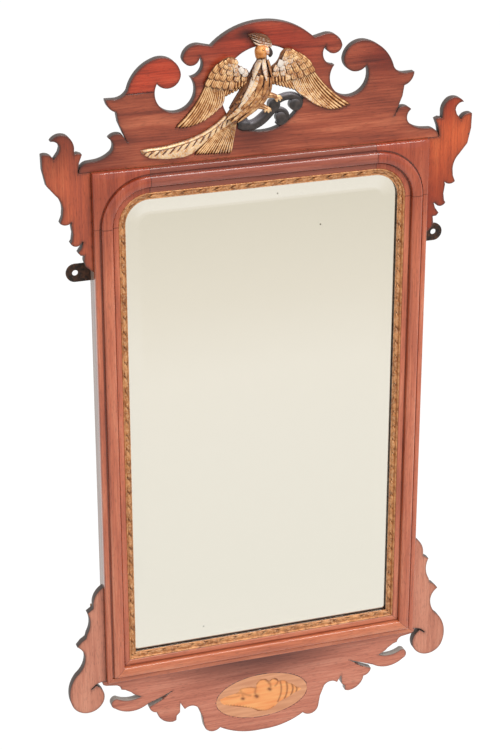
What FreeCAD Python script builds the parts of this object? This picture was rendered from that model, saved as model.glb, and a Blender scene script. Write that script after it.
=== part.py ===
"""Fret-cut wall mirror with a carved gilt bird and a shell inlay.

Millimetres. +Z is up, the front faces -Y and the wall is the plane y = 0.
The origin lies on the wall, midway between the holes of the two hanging plates.
"""
import FreeCAD, Part
import math
import os
from FreeCAD import Vector

# Frame
FRAME_WIDTH = 450.0
FRAME_HEIGHT = 733.0
HANG_BELOW_TOP = 137.0
CARCASS_DEPTH = 20.0
REBATE_WIDTH = 10.0
REBATE_DEPTH = 6.0

# Planted moulding, from its outer edge inwards
BAND_WIDTH = 7.0
BAND_THICKNESS = 8.0
BAND_ARRIS = 0.8
QUIRK_WIDTH = 2.2
QUIRK_DEPTH = 2.0
ROLL_WIDTH = 14.3
ROLL_PROUD = 5.0
ROLL_CROWN = 0.7
ROLL_EDGE = 2.5
INNER_QUIRK_WIDTH = 1.5
INNER_QUIRK_DEPTH = 1.5
INNER_BAND_WIDTH = 7.0
INNER_BAND_DROP = 1.0

# Gilt slip
SLIP_WIDTH = 9.5
SLIP_BEAD = 2.6
SLIP_BEAD_RISE = 1.2
SLIP_LIP_WIDTH = 1.4
SLIP_SIGHT_THICKNESS = 3.5
SLIP_HOLLOW = 0.8
SIGHT_CORNER_RADIUS = 32.0

# Mirror plate and what holds it
GLASS_COVER = 5.0
GLASS_THICKNESS = 6.0
GLASS_EDGE = 2.5
BEVEL_WIDTH = 25.0
GLASS_CLEARANCE = 0.1
GLASS_SIDE_CLEARANCE = 1.5
WEDGE_WIDTH = 8.0
WEDGE_LENGTH = 40.0
WEDGE_BOARD_GAP = 1.0
WEDGES_PER_STILE = 3
WEDGES_PER_RAIL = 2
BOARD_THICKNESS = 5.0
BOARD_GAP = 0.5
BOARD_COUNT = 3
NAIL_SIZE = 1.6
NAIL_LENGTH = 12.0
NAIL_HEAD_SIZE = 3.6
NAIL_HEAD_HEIGHT = 0.6
NAIL_END = 40.0

# Fretwork
FRET_THICKNESS = 11.0
CREST_DRAWN_WIDTH = 450.0
FOOT_REACH = 15.5
APRON_REACH = 6.0
APRON_HOLLOW_WIDTH = 19.5
OPENING_RADIUS = 55.5
OPENING_HEIGHT = 86.5
TIP_JOINT_HEIGHT = 95.0
TIP_JOINT_INNER = 106.0
GLUE_BLOCK_LENGTH = 45.0
GLUE_BLOCK_WIDTH = 15.0
GLUE_BLOCK_BACK_GAP = 1.0
CREST_BLOCK_SPACING = 160.0
APRON_BLOCK_SPACING = 130.0
UPPER_EAR_BLOCK_DROP = 45.0
LOWER_EAR_BLOCK_RISE = 70.0

# Hanging plates
PLATE_THICKNESS = 2.5
PLATE_HEIGHT = 24.0
PLATE_MARGIN = 2.0
HOLE_OUTSET = 20.0
HANG_HOLE_RADIUS = 4.0
PLATE_NAIL_SIZE = 3.0
PLATE_NAIL_HEAD_SIZE = 5.4
PLATE_NAIL_SINK = 1.2
PLATE_NAIL_LENGTH = 14.0
PLATE_NAIL_SPACING = 12.0

# Shell inlay
INLAY_THICKNESS = 1.2
INLAY_HALF_WIDTH = 67.5
INLAY_HALF_HEIGHT = 34.2
INLAY_DROP = 66.2

# Bird and branch
PRIMARY_COUNT = 9
PRIMARY_HALF_WIDTH = 4.6
TERTIAL_COUNT = 4
TERTIAL_HALF_WIDTH = 4.4
LOWER_COVERT_COUNT = 6
UPPER_COVERT_COUNT = 5
COVERT_HALF_WIDTH = 5.2
TAIL_FEATHER_COUNT = 7
TAIL_FEATHER_HALF_WIDTH = 4.4
FEATHER_THICKNESS = 5.0
FEATHER_STEP = 0.35
FEATHER_ROOT_HALF = 2.4
FEATHER_TIP_HALF = 2.6
FEATHER_TIP_LENGTH = 4.0
PAD_THICKNESS = 7.5
COVERT_STEP = 1.5
TAIL_THICKNESS = 5.0
LONG_FEATHER_THICKNESS = 7.5
PLUME_THICKNESS = 9.0
BODY_FORWARD = 5.0
BODY_SIDES = 12
LIMB_SIDES = 6
DISC_SIDES = 20
ARC_CHORDS = 4
OVAL_SIDES = 64
BEAK_ROOT_RADIUS = 3.4
BEAK_TIP_RADIUS = 0.6
HIP_RADIUS = 4.0
FOOT_RADIUS = 2.4
BRANCH_THICKNESS = 12.0
BRANCH_FORWARD = 3.0
SCROLL_BOSS = 2.0

# Places worked out from the sizes above
HALF_W = FRAME_WIDTH / 2
TOP = HANG_BELOW_TOP
BOTTOM = TOP - FRAME_HEIGHT
FACE = -CARCASS_DEPTH
BAND_FACE = FACE - BAND_THICKNESS
ROLL_START = BAND_WIDTH + QUIRK_WIDTH
ROLL_END = ROLL_START + ROLL_WIDTH
INNER_BAND_START = ROLL_END + INNER_QUIRK_WIDTH
MOULDING_WIDTH = INNER_BAND_START + INNER_BAND_WIDTH
BORDER = MOULDING_WIDTH + SLIP_WIDTH
CORNER = BORDER + SIGHT_CORNER_RADIUS
BLOCK_X = HALF_W - CORNER
BLOCK_Z = TOP - CORNER
GLASS_INSET = BORDER - GLASS_COVER
CARCASS_WIDTH = GLASS_INSET - GLASS_SIDE_CLEARANCE
GLASS_RISE = GLASS_THICKNESS - GLASS_EDGE
COVERED_RISE = GLASS_RISE * GLASS_COVER / BEVEL_WIDTH
GLASS_BACK = FACE + GLASS_CLEARANCE + GLASS_EDGE + COVERED_RISE
REBATE_INSET = CARCASS_WIDTH - REBATE_WIDTH
BOARD_BACK = BOARD_THICKNESS - REBATE_DEPTH
PLATE_TAIL = REBATE_INSET - PLATE_MARGIN
FRET_BACK = FACE + FRET_THICKNESS
CREST_STRETCH = FRAME_WIDTH / CREST_DRAWN_WIDTH
OPENING_Z = TOP + OPENING_HEIGHT
HOLE_X = HALF_W + HOLE_OUTSET
ACROSS = Vector(1, 0, 0)
FORWARD = Vector(0, -1, 0)
BACKWARD = Vector(0, 1, 0)
UP = Vector(0, 0, 1)

# Outlines. A plain point ends a straight edge; a pair (through, end) is an arc.
# Crest, right half: from the centre line, heights above the frame's top edge.
CREST_EDGE = [
    (0, 0),
    (0, 173.2),
    ((36, 166.6), (67.5, 146.5)),
    (80, 149.5),
    ((99.5, 144.5), (104.8, 134)),
    ((94, 123.6), (82.5, 134.3)),
    ((79.3, 122), (94.5, 109)),
    ((116, 66.5), (138, 104.5)),
    ((122, 97.7), (107, 114.5)),
    ((116.5, 132), (138, 137)),
    ((158.5, 126.5), (175.5, 99.5)),
    ((181.5, 93), (192, 90)),
    (203.8, 90.3),
    ((200, 80), (190.5, 73.5)),
    (188.3, 60),
    (182.5, 46),
    (176.5, 33.5),
    (183.6, 44.4),
    ((192, 46), (201, 41)),
    ((195.4, 31), (200.5, 21)),
]
# Foot of the crest, which runs out over the ear, from the frame's side.
CREST_HOLLOW = 15.5
CREST_FOOT = [
    (-4, 13.5),
    (4, 13),
    ((11, 9.5), (FOOT_REACH, 0)),
]

# Upper ear: outwards from the frame's side, heights from the frame's top edge.
UPPER_EAR = [
    (0, 0),
    (FOOT_REACH, 0),
    (16.3, 2.5),
    (14.3, 13.5),
    (10.3, 24),
    (15.5, 26),
    (19.8, 25),
    (20, 29.5),
    ((22.5, 42.5), (29, 49.5)),
    ((39, 51), (49.5, 44)),
    ((40.5, 40.5), (38.2, 34.5)),
    (40, 28.5),
    (46, 20.5),
    ((53, 27.5), (61.5, 27.5)),
    (61, 8),
    (56.5, -12.5),
    (45.5, -26),
    ((38.5, -37), (37, -46)),
    (37.8, -55),
    (41, -63),
    ((34, -66), (25.8, -62)),
    (27, -66.5),
    (25.2, -78.5),
    (26.5, -88),
    (28.5, -91),
    ((21, -95.5), (13.6, -90)),
    (12, -90.5),
    (14, -97),
    (19.3, -104.5),
    (16, -108.3),
    (11.2, -108.7),
    (12, -116.5),
    (10, -123.5),
    (0, -132.5),
    (0, 0),
]

# Lower ear: outwards from the frame's side, heights from the frame's bottom edge.
LOWER_EAR = [
    (0, 0),
    (0, 147.5),
    ((10, 138.5), (15, 123.5)),
    (15, 117),
    (23.5, 111),
    ((20.3, 99.5), (24.5, 79.5)),
    (26.5, 72.5),
    (33, 68),
    (39, 61),
    ((30.5, 51), (29, 38)),
    ((32, 28), (41, 16.5)),
    ((51.5, -7.5), (49, -29.5)),
    ((27, -45.5), (6, -33.5)),
    ((3.2, -20.5), (10, -7)),
    (14, -4.2),
    (21, -9.6),
    (21.8, -8.4),
    (15, -2.2),
    (11.5, -1.2),
    (8, 0),
    (0, 0),
]

# Leaves of the apron, right half: from the frame's side and its bottom edge.
APRON_LEAVES = [
    (APRON_REACH, 0),
    (4.5, -5),
    (1, -7),
    (-12, -9),
    ((-18.5, -12), (-21, -17.5)),
    (-26.5, -19),
    (-35, -24.5),
    (-38, -28),
    (-49, -33.5),
    ((-31, -36.7), (-14, -31)),
    ((-6.5, -36), (-11, -46)),
    ((-32, -54.8), (-58, -47.5)),
    (-95, -32.5),
    (-78, -44.5),
    (-60, -53),
    ((-63, -60), (-71, -64)),
    ((-78, -77.5), (-94, -84)),
    (-99, -82.5),
    (-99.7, -75),
    (-104.5, -70.5),
    (-105.2, -56),
    (-111.5, -67),
]
# Rounded middle of the apron, from the centre line.
APRON_HOLLOW = -63.3
APRON_MIDDLE = [
    (94, -68.5),
    (88, -84),
    (85.5, -99.5),
    ((76, -111), (62, -107.2)),
    ((34, -119.5), (0, -123)),
    (0, 0),
]

# Conch of the inlay, about the middle of the oval.
SHELL = [
    (-62, 5),
    (-36, 11.5),
    ((-24, 17.5), (-9, 14)),
    ((-3, 26), (11, 21)),
    ((17, 25), (25, 18.5)),
    ((33, 18.5), (39, 13)),
    (51, 5),
    (59, -0.5),
    (48, -5.5),
    (26, -14.5),
    ((8, -26.5), (-15, -18.5)),
    (-53, -6),
    (-62, 5),
]

# Wings. A fan is the line that its quills spring from and the curve that its tips follow.
LEFT_PRIMARIES = (((-67, 112), (-44, 98)), ((-114, 49.5), (-95, 46.5), (-61, 67)))
LEFT_TERTIALS = (((-46, 102), (-34, 100)), ((-54, 80), (-46, 87), (-36, 90)))
LEFT_LOWER_COVERTS = (((-66, 114), (-36, 104)), ((-76, 101), (-56, 91), (-34, 92)))
LEFT_UPPER_COVERTS = (((-58, 124), (-34, 115)), ((-69, 110), (-52, 102), (-30, 101)))
LEFT_PAD = [
    (-12, 104),
    (-15, 115.5),
    (-27, 116.5),
    (-32, 120),
    (-37, 126),
    ((-45, 132.5), (-58, 128)),
    ((-70, 119), (-73, 107)),
    (-48, 97),
    (-38, 89),
    (-31, 87),
    (-26, 84.5),
    (-12, 104),
]
RIGHT_PRIMARIES = (((49, 125), (26, 103)), ((111, 59.5), (92, 47), (48, 84)))
RIGHT_TERTIALS = (((30, 106), (12, 106)), ((41, 86.5), (28, 89), (12, 94.5)))
RIGHT_LOWER_COVERTS = (((52, 120), (20, 106)), ((63, 106), (42, 93), (16, 95)))
RIGHT_UPPER_COVERTS = (((45, 129), (18, 116)), ((57, 116), (38, 104), (15, 104)))
RIGHT_PAD = [
    (3, 104),
    (4, 111),
    (9, 112),
    (15, 122),
    (21, 131),
    ((34, 137), (50, 128.5)),
    ((58, 119), (61, 108)),
    (32, 101),
    (14, 96),
    (4, 97),
    (3, 104),
]
PRIMARY_BOW = 4.0

# Tail: one long curved feather over a fan of straight ones.
LONG_FEATHER = [
    (-36, 66),
    ((-96, 33), (-160, 23)),
    ((-140, 10.5), (-112, 9.5)),
    ((-74, 27), (-40, 52)),
    (-36, 66),
]
TAIL_FAN = (((-48, 52), (-38, 54)), ((-90, 10), (-66, 8.5), (-46, 9.5)))

# Bird: sections from the crown down the neck, breast and belly as
# (across, height, half width, half depth), then beak, plume and legs.
BODY = [
    (-4.5, 143.6, 3.2, 3.0),
    (-4.3, 140.5, 7.0, 6.4),
    (-4, 136, 8.4, 7.6),
    (-4, 131, 7.0, 6.4),
    (-5, 124, 7.2, 6.8),
    (-5.2, 116, 9.2, 8.2),
    (-5.5, 108, 12.4, 9.4),
    (-6, 99, 14.6, 10.6),
    (-10.5, 87, 16.0, 11.0),
    (-19, 75, 13.4, 10.0),
    (-29, 66, 9.5, 7.5),
    (-38, 58.5, 6.0, 4.6),
]
BEAK = ((1.0, 136.5), (8.0, 130.5))
PLUME = [
    (-27, 155),
    ((-8, 160.5), (8.5, 143)),
    (-2, 142),
    (-12, 144.5),
    (-20, 147.5),
    (-27, 155),
]
LEGS = [((0, 84), (16, 71)), ((-8, 74), (5, 62))]

# Branch: a stem that springs from the rim of the opening, and the scroll above it.
STEM = [
    (-42, 38),
    (-36, 47),
    (-29, 51),
    ((-24, 52.5), (-20, 46.5)),
    ((-13, 47), (-6, 58)),
    (-3, 60.4),
    (15, 61),
    (14, 49),
    (4, 45.5),
    (-6, 37),
    (-24, 26),
    (-42, 38),
]
SCROLL = [
    (14, 70),
    ((22, 79), (34, 81)),
    (46, 77),
    (56, 70),
    (58, 66),
    ((50, 56), (44, 56.5)),
    (40, 57),
    (38.5, 59.5),
    (36, 70),
    (27, 69),
    (17, 63),
    (14, 70),
]
KNOB = (12.0, 65.4)
KNOB_RADIUS = 8.0
LOWER_SCROLL = (22.0, 49.4)
LOWER_SCROLL_RADIUS = 10.5
CURL = (37.5, 65.4)
CURL_RADIUS = 6.0


def edges(path, place):
    """Edges of a path of straight points and (through, end) arcs."""
    made = []
    last = place(*path[0])
    for step in path[1:]:
        if isinstance(step[0], tuple):
            through = place(*step[0])
            end = place(*step[1])
            made.append(Part.Arc(last, through, end).toShape())
        else:
            end = place(*step)
            made.append(Part.makeLine(last, end))
        last = end
    return made


def flats(path):
    """The same path with two chords in place of each arc."""
    return [point for step in path for point in (step if isinstance(step[0], tuple) else (step,))]


def chords(path):
    """The same path with a few even chords in place of each arc."""
    made = [path[0]]
    for step in path[1:]:
        if isinstance(step[0], tuple):
            arc = Part.Arc(Vector(*made[-1], 0), Vector(*step[0], 0), Vector(*step[1], 0))
            made += [(point.x, point.y) for point in arc.discretize(Number=ARC_CHORDS + 1)[1:]]
        else:
            made.append(step)
    return made


def round_path(centre, wide, high, sides):
    """Closed path of straight sides round a circle or an oval."""
    turns = [2 * math.pi * side / sides for side in range(sides)]
    made = [(centre[0] + wide * math.cos(turn), centre[1] + high * math.sin(turn)) for turn in turns]
    return made + made[:1]


def face(path, place):
    """Flat face inside a closed path."""
    return Part.Face(Part.Wire(edges(path, place)))


def plate(path, place, thickness):
    """Board that lies forward of its path by its thickness."""
    return face(path, place).extrude(FORWARD * thickness)


def upright(y, across=0.0, height=0.0, side=1):
    """Placing function for outlines drawn on a plane that faces the viewer."""
    return lambda u, v: Vector(side * (across + u), y, height + v)


def box(x0, y0, z0, x1, y1, z1):
    """Box between two corners."""
    return Part.makeBox(x1 - x0, y1 - y0, z1 - z0, Vector(x0, y0, z0))


def moved(path, across, stretch=1.0):
    """A path stretched and shifted sideways."""
    def shift(point):
        return (point[0] * stretch + across, point[1])
    return [tuple(shift(point) for point in step) if isinstance(step[0], tuple) else shift(step)
            for step in path]


def mirrored(shape):
    """The same piece on the other side of the centre line."""
    return shape.mirror(Vector(0, 0, 0), ACROSS)


def whole(half):
    """A half and its mirror image as one board."""
    return half.fuse(mirrored(half)).removeSplitter()


def both(shape):
    """A piece and its mirror image, side by side."""
    return [shape, mirrored(shape)]


def save(node, *shapes):
    """One file for a node of one or more separate solids."""
    solids = [solid for shape in shapes for solid in shape.Solids]
    piece = solids[0] if len(solids) == 1 else Part.makeCompound(solids)
    piece.exportStep("parts/" + node + ".step")


def point_between(a, b, share):
    """Point at a share of the way from a to b."""
    return (a[0] + (b[0] - a[0]) * share, a[1] + (b[1] - a[1]) * share)


def bend(start, pull, end, share):
    """Point of the curve from start to end that is drawn towards pull."""
    return point_between(point_between(start, pull, share), point_between(pull, end, share), share)


def shares(count):
    """Even shares from 0 to 1."""
    return [index / (count - 1) for index in range(count)]


# Carcass: a half-lapped pine frame with a rebate for the backboards.
def carcass_frame():
    outer = box(-HALF_W, FACE, BOTTOM, HALF_W, 0, TOP)
    opening = box(-HALF_W + CARCASS_WIDTH, FACE, BOTTOM + CARCASS_WIDTH,
                  HALF_W - CARCASS_WIDTH, 0, TOP - CARCASS_WIDTH)
    rebate = box(-HALF_W + REBATE_INSET, -REBATE_DEPTH, BOTTOM + REBATE_INSET,
                 HALF_W - REBATE_INSET, 0, TOP - REBATE_INSET)
    return outer.cut(opening).cut(rebate)


def carcass_members(frame):
    """Stiles keep the back half of each corner, rails the front half."""
    lap = FACE / 2
    inner = HALF_W - CARCASS_WIDTH
    members = {}
    for name, low, high in (("bottom", BOTTOM, BOTTOM + CARCASS_WIDTH),
                            ("top", TOP - CARCASS_WIDTH, TOP)):
        middle = box(-inner, FACE, low, inner, 0, high)
        front = box(-HALF_W, FACE, low, HALF_W, lap, high)
        members["carcass_rail_" + name] = frame.common(middle.fuse(front)).removeSplitter()
    laps = [box(-HALF_W, FACE, low, HALF_W, lap, low + CARCASS_WIDTH)
            for low in (BOTTOM, TOP - CARCASS_WIDTH)]
    for name, low in (("left", -HALF_W), ("right", inner)):
        strip = box(low, FACE, BOTTOM, low + CARCASS_WIDTH, 0, TOP)
        members["carcass_stile_" + name] = frame.common(strip).cut(laps[0]).cut(laps[1])
    return members


# Section of the planted moulding: inwards from the frame's edge, proud of the band.
def moulding_section(start):
    soft = BAND_ARRIS * (1 - math.sqrt(0.5))
    edge = ROLL_EDGE * (1 - math.sqrt(0.5))
    floor = -INNER_BAND_DROP - INNER_QUIRK_DEPTH
    section = [
        (ROLL_START, -QUIRK_DEPTH),
        (ROLL_START, ROLL_PROUD - ROLL_EDGE),
        ((ROLL_START + edge, ROLL_PROUD - edge), (ROLL_START + ROLL_EDGE, ROLL_PROUD)),
        ((ROLL_START + ROLL_WIDTH / 2, ROLL_PROUD + ROLL_CROWN), (ROLL_END - ROLL_EDGE, ROLL_PROUD)),
        ((ROLL_END - edge, ROLL_PROUD - edge), (ROLL_END, ROLL_PROUD - ROLL_EDGE)),
        (ROLL_END, floor),
        (INNER_BAND_START, floor),
        (INNER_BAND_START, -INNER_BAND_DROP),
        (MOULDING_WIDTH, -INNER_BAND_DROP),
        (MOULDING_WIDTH, -BAND_THICKNESS),
    ]
    band = [
        (0, -BAND_THICKNESS),
        (0, -BAND_ARRIS),
        ((soft, -soft), (BAND_ARRIS, 0)),
        (BAND_WIDTH, 0),
        (BAND_WIDTH, -QUIRK_DEPTH),
    ]
    if start > 0:
        return [(start, -BAND_THICKNESS), (start, -QUIRK_DEPTH)] + section + [(start, -BAND_THICKNESS)]
    return band + section + [(0, -BAND_THICKNESS)]


# Section of the gilt slip: a bead, a hollow and a thin lip at the glass.
def slip_section():
    outer = MOULDING_WIDTH
    bead = -INNER_BAND_DROP - SLIP_BEAD_RISE
    sight = SLIP_SIGHT_THICKNESS - BAND_THICKNESS
    lip = BORDER - SLIP_LIP_WIDTH
    hollow = ((outer + SLIP_BEAD + lip) / 2, (bead + sight) / 2 - SLIP_HOLLOW)
    return [
        (outer, -BAND_THICKNESS),
        (outer, bead),
        ((outer + SLIP_BEAD / 2, -INNER_BAND_DROP), (outer + SLIP_BEAD, bead)),
        (hollow, (lip, sight)),
        (BORDER, sight),
        (BORDER, -BAND_THICKNESS),
        (outer, -BAND_THICKNESS),
    ]


def stile_run(section, side):
    """A section run up one side, mitred at the bottom, square at the corner block."""
    placed = face(section, lambda u, p: Vector(side * (HALF_W - u), BAND_FACE - p, BOTTOM))
    return placed.extrude(UP * (BLOCK_Z - BOTTOM)).cut(mitre_waste(side, True))


def bottom_run(section):
    """A section run along the bottom, mitred at both ends."""
    placed = face(section, lambda u, p: Vector(-HALF_W, BAND_FACE - p, BOTTOM + u))
    run = placed.extrude(ACROSS * FRAME_WIDTH)
    return run.cut(mitre_waste(-1, False)).cut(mitre_waste(1, False))


def top_run(section):
    """A section run along the top between the corner blocks."""
    placed = face(section, lambda u, p: Vector(-BLOCK_X, BAND_FACE - p, TOP - u))
    return placed.extrude(ACROSS * 2 * BLOCK_X)


def mitre_waste(side, below):
    """Wedge on one side of a bottom corner's mitre."""
    deep = BORDER + ROLL_PROUD
    corner = (HALF_W, BOTTOM)
    inner = (HALF_W - deep, BOTTOM + deep)
    third = (HALF_W - deep, BOTTOM) if below else (HALF_W, BOTTOM + deep)
    path = [corner, inner, third, corner]
    crest_of_roll = ROLL_PROUD + ROLL_CROWN
    return plate(path, upright(FACE, 0, 0, side), BAND_THICKNESS + crest_of_roll)


def corner_turn(section, side):
    """A section turned through a quarter circle at a top corner, its curves cut in flats."""
    centre = Vector(side * BLOCK_X, 0, BLOCK_Z)
    placed = face(flats(section), lambda u, p: Vector(side * (HALF_W - u), BAND_FACE - p, BLOCK_Z))
    return placed.revolve(centre, BACKWARD, -90 * side)


def corner_block(side):
    """Square block whose roll turns the corner, with a flat spandrel outside it."""
    turned = corner_turn(moulding_section(BAND_WIDTH), side)
    square = box(0, FACE - BAND_THICKNESS, 0, CORNER, FACE, CORNER)
    disc = Part.makeCylinder(CORNER - BAND_WIDTH, BAND_THICKNESS, Vector(0, FACE, 0), FORWARD)
    spandrel = square.cut(disc)
    spandrel.translate(Vector(BLOCK_X, 0, BLOCK_Z))
    spandrel = soften_outer_edges(spandrel)
    return turned.fuse(spandrel if side > 0 else mirrored(spandrel)).removeSplitter()


def soften_outer_edges(spandrel):
    """Carry the band's soft arris round the block's two outer edges."""
    outer = [edge for edge in spandrel.Edges if on_outer_front(edge.BoundBox)]
    return spandrel.makeFillet(BAND_ARRIS, outer)


def on_outer_front(bounds):
    near = 0.001
    front = bounds.YMax < BAND_FACE + near
    right = bounds.XMin > HALF_W - near
    top = bounds.ZMin > TOP - near
    return front and (right or top)


# Mirror plate: rounded top corners, a wide bevel on all four sides.
def glass_outline(inset, y):
    radius = SIGHT_CORNER_RADIUS + BORDER - inset
    half = HALF_W - inset
    turn = radius * math.sqrt(0.5)
    path = [
        (-half, BOTTOM + inset),
        (half, BOTTOM + inset),
        (half, BLOCK_Z),
        ((BLOCK_X + turn, BLOCK_Z + turn), (BLOCK_X, TOP - inset)),
        (-BLOCK_X, TOP - inset),
        ((-BLOCK_X - turn, BLOCK_Z + turn), (-half, BLOCK_Z)),
        (-half, BOTTOM + inset),
    ]
    return Part.Wire(edges(path, upright(y)))


def mirror_plate():
    edge_front = GLASS_BACK - GLASS_EDGE
    base = Part.Face(glass_outline(GLASS_INSET, GLASS_BACK)).extrude(FORWARD * GLASS_EDGE)
    rim = glass_outline(GLASS_INSET, edge_front)
    flat = glass_outline(GLASS_INSET + BEVEL_WIDTH, GLASS_BACK - GLASS_THICKNESS)
    return base.fuse(Part.makeLoft([rim, flat], True, True)).removeSplitter()


def glass_wedges():
    """Three-cornered pine blocks that press the plate forward from the carcass."""
    wall = HALF_W - CARCASS_WIDTH
    depth = -REBATE_DEPTH - WEDGE_BOARD_GAP
    section = [(0, GLASS_BACK), (WEDGE_WIDTH, GLASS_BACK), (0, depth), (0, GLASS_BACK)]
    blocks = []
    span = FRAME_HEIGHT - 2 * CARCASS_WIDTH
    for index in range(WEDGES_PER_STILE):
        middle = BOTTOM + CARCASS_WIDTH + span * (index + 0.5) / WEDGES_PER_STILE
        low = middle - WEDGE_LENGTH / 2
        side = face(section, lambda u, y: Vector(wall - u, y, low)).extrude(UP * WEDGE_LENGTH)
        blocks += both(side)
    span = FRAME_WIDTH - 2 * CARCASS_WIDTH
    for index in range(WEDGES_PER_RAIL):
        start = -wall + span * (index + 0.5) / WEDGES_PER_RAIL - WEDGE_LENGTH / 2
        for level, way in ((BOTTOM + CARCASS_WIDTH, 1), (TOP - CARCASS_WIDTH, -1)):
            end = face(section, lambda u, y: Vector(start, y, level + way * u))
            blocks.append(end.extrude(ACROSS * WEDGE_LENGTH))
    return blocks


def board_spans():
    """Lowest and highest point of each backboard, with a gap all round."""
    low = BOTTOM + REBATE_INSET
    pitch = (FRAME_HEIGHT - 2 * REBATE_INSET) / BOARD_COUNT
    return [(low + pitch * index + BOARD_GAP, low + pitch * (index + 1) - BOARD_GAP)
            for index in range(BOARD_COUNT)]


def nail_places():
    """Two nails at each end of each backboard, in the middle of the rebate."""
    x = HALF_W - CARCASS_WIDTH + REBATE_WIDTH / 2
    return [(side * x, z) for low, high in board_spans()
            for z in (low + NAIL_END, high - NAIL_END) for side in (-1, 1)]


def nail_shank(x, z):
    half = NAIL_SIZE / 2
    return box(x - half, BOARD_BACK - NAIL_LENGTH, z - half, x + half, BOARD_BACK, z + half)


def nail(x, z):
    """Cut nail, square in the shank and the head."""
    half = NAIL_HEAD_SIZE / 2
    head = box(x - half, BOARD_BACK, z - half, x + half, BOARD_BACK + NAIL_HEAD_HEIGHT, z + half)
    return nail_shank(x, z).fuse(head)


# Hanging plates: iron lugs let in flush behind the stiles, two nails each.
def plate_outline():
    reach = PLATE_HEIGHT / 2
    return [
        (HALF_W - PLATE_TAIL, -reach),
        (HOLE_X, -reach),
        ((HOLE_X + reach, 0), (HOLE_X, reach)),
        (HALF_W - PLATE_TAIL, reach),
        (HALF_W - PLATE_TAIL, -reach),
    ]


def plate_nail_places():
    x = HALF_W - PLATE_TAIL / 2
    return [(x, z) for z in (-PLATE_NAIL_SPACING / 2, PLATE_NAIL_SPACING / 2)]


def square(x, y, z, size):
    """Square outline that faces the wall."""
    half = size / 2
    path = [(-half, -half), (half, -half), (half, half), (-half, half), (-half, -half)]
    return Part.Wire(edges(path, upright(y, x, z)))


def plate_nail(x, z):
    """Cut nail with a sunk head, flush with the back of the plate."""
    rim = square(x, 0, z, PLATE_NAIL_HEAD_SIZE)
    neck = square(x, -PLATE_NAIL_SINK, z, PLATE_NAIL_SIZE)
    point = square(x, -PLATE_NAIL_LENGTH, z, PLATE_NAIL_SIZE)
    return Part.makeLoft([rim, neck, point], True, True)


def hanging_plate(nails):
    lug = plate(plate_outline(), upright(0), PLATE_THICKNESS)
    hole = Part.makeCylinder(HANG_HOLE_RADIUS, PLATE_THICKNESS, Vector(HOLE_X, 0, 0), FORWARD)
    return lug.cut(hole).cut(nails)


# Fret boards
def crest_outline():
    """The crest's edge, a hollow down to its foot, and the foot."""
    edge = moved(CREST_EDGE, 0, CREST_STRETCH)
    foot = moved(CREST_FOOT, HALF_W)
    last = edge[-1][1]
    hollow = ((last[0] + foot[0][0]) / 2, CREST_HOLLOW)
    return edge + [(hollow, foot[0])] + foot[1:] + edge[:1]


def crest_board():
    half = plate(crest_outline(), upright(FRET_BACK, 0, TOP), FRET_THICKNESS)
    hole = Part.makeCylinder(OPENING_RADIUS, FRET_THICKNESS, Vector(0, FRET_BACK, OPENING_Z), FORWARD)
    return whole(half).cut(hole)


def scroll_tip_box(crest):
    """Everything outside the small scroll and above the splice of the left large scroll."""
    bounds = crest.BoundBox
    inner = -TIP_JOINT_INNER * CREST_STRETCH
    return box(bounds.XMin, FACE, TOP + TIP_JOINT_HEIGHT, inner, FRET_BACK, bounds.ZMax)


def ear(path, level, side):
    return plate(path, upright(FRET_BACK, HALF_W, level, side), FRET_THICKNESS)


def apron_outline():
    """The frame's bottom edge, the leaves, a hollow and the rounded middle."""
    middle = APRON_MIDDLE[0]
    room = HALF_W - middle[0] - APRON_HOLLOW_WIDTH
    leaves = moved(APRON_LEAVES, HALF_W, -room / APRON_LEAVES[-1][0])
    hollow = ((leaves[-1][0] + middle[0]) / 2, APRON_HOLLOW)
    return APRON_MIDDLE[-1:] + leaves + [(hollow, middle)] + APRON_MIDDLE[1:]


def apron_board():
    return whole(plate(apron_outline(), upright(FRET_BACK, 0, BOTTOM), FRET_THICKNESS))


def glue_block(x, z, width, height):
    """Pine block behind a fret board, in the angle against the carcass."""
    return box(x, FRET_BACK, z, x + width, -GLUE_BLOCK_BACK_GAP, z + height)


def row_of_blocks(spacing, z):
    return [glue_block(x - GLUE_BLOCK_LENGTH / 2, z, GLUE_BLOCK_LENGTH, GLUE_BLOCK_WIDTH)
            for x in (-spacing, 0, spacing)]


def ear_blocks():
    levels = (TOP - UPPER_EAR_BLOCK_DROP - GLUE_BLOCK_LENGTH, BOTTOM + LOWER_EAR_BLOCK_RISE)
    return [piece for z in levels
            for piece in both(glue_block(HALF_W, z, GLUE_BLOCK_WIDTH, GLUE_BLOCK_LENGTH))]


# Shell inlay: an oval of pale veneer with the conch let into it.
def inlaid(path):
    return plate(path, upright(FACE + INLAY_THICKNESS, 0, BOTTOM - INLAY_DROP), INLAY_THICKNESS)


def oval():
    return inlaid(round_path((0, 0), INLAY_HALF_WIDTH, INLAY_HALF_HEIGHT, OVAL_SIDES))


def shell():
    return inlaid(chords(SHELL))


# Bird
def feather(root, tip, half_width, bow, thickness):
    """Leaf-shaped feather with a blunt point; bow bends it sideways."""
    along = Vector(tip[0] - root[0], tip[1] - root[1], 0)
    length = along.Length
    along.normalize()
    aside = Vector(-along.y, along.x, 0)

    def at(distance, offset):
        mark = Vector(root[0], root[1], 0) + along * distance + aside * offset
        return (mark.x, mark.y)

    shoulder = length - FEATHER_TIP_LENGTH
    path = [
        at(0, -FEATHER_ROOT_HALF),
        at(length / 2, bow - half_width),
        at(shoulder, -FEATHER_TIP_HALF),
        at(length, 0),
        at(shoulder, FEATHER_TIP_HALF),
        at(length / 2, bow + half_width),
        at(0, FEATHER_ROOT_HALF),
    ]
    return plate(path + path[:1], upright(FACE, 0, TOP), thickness)


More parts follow.
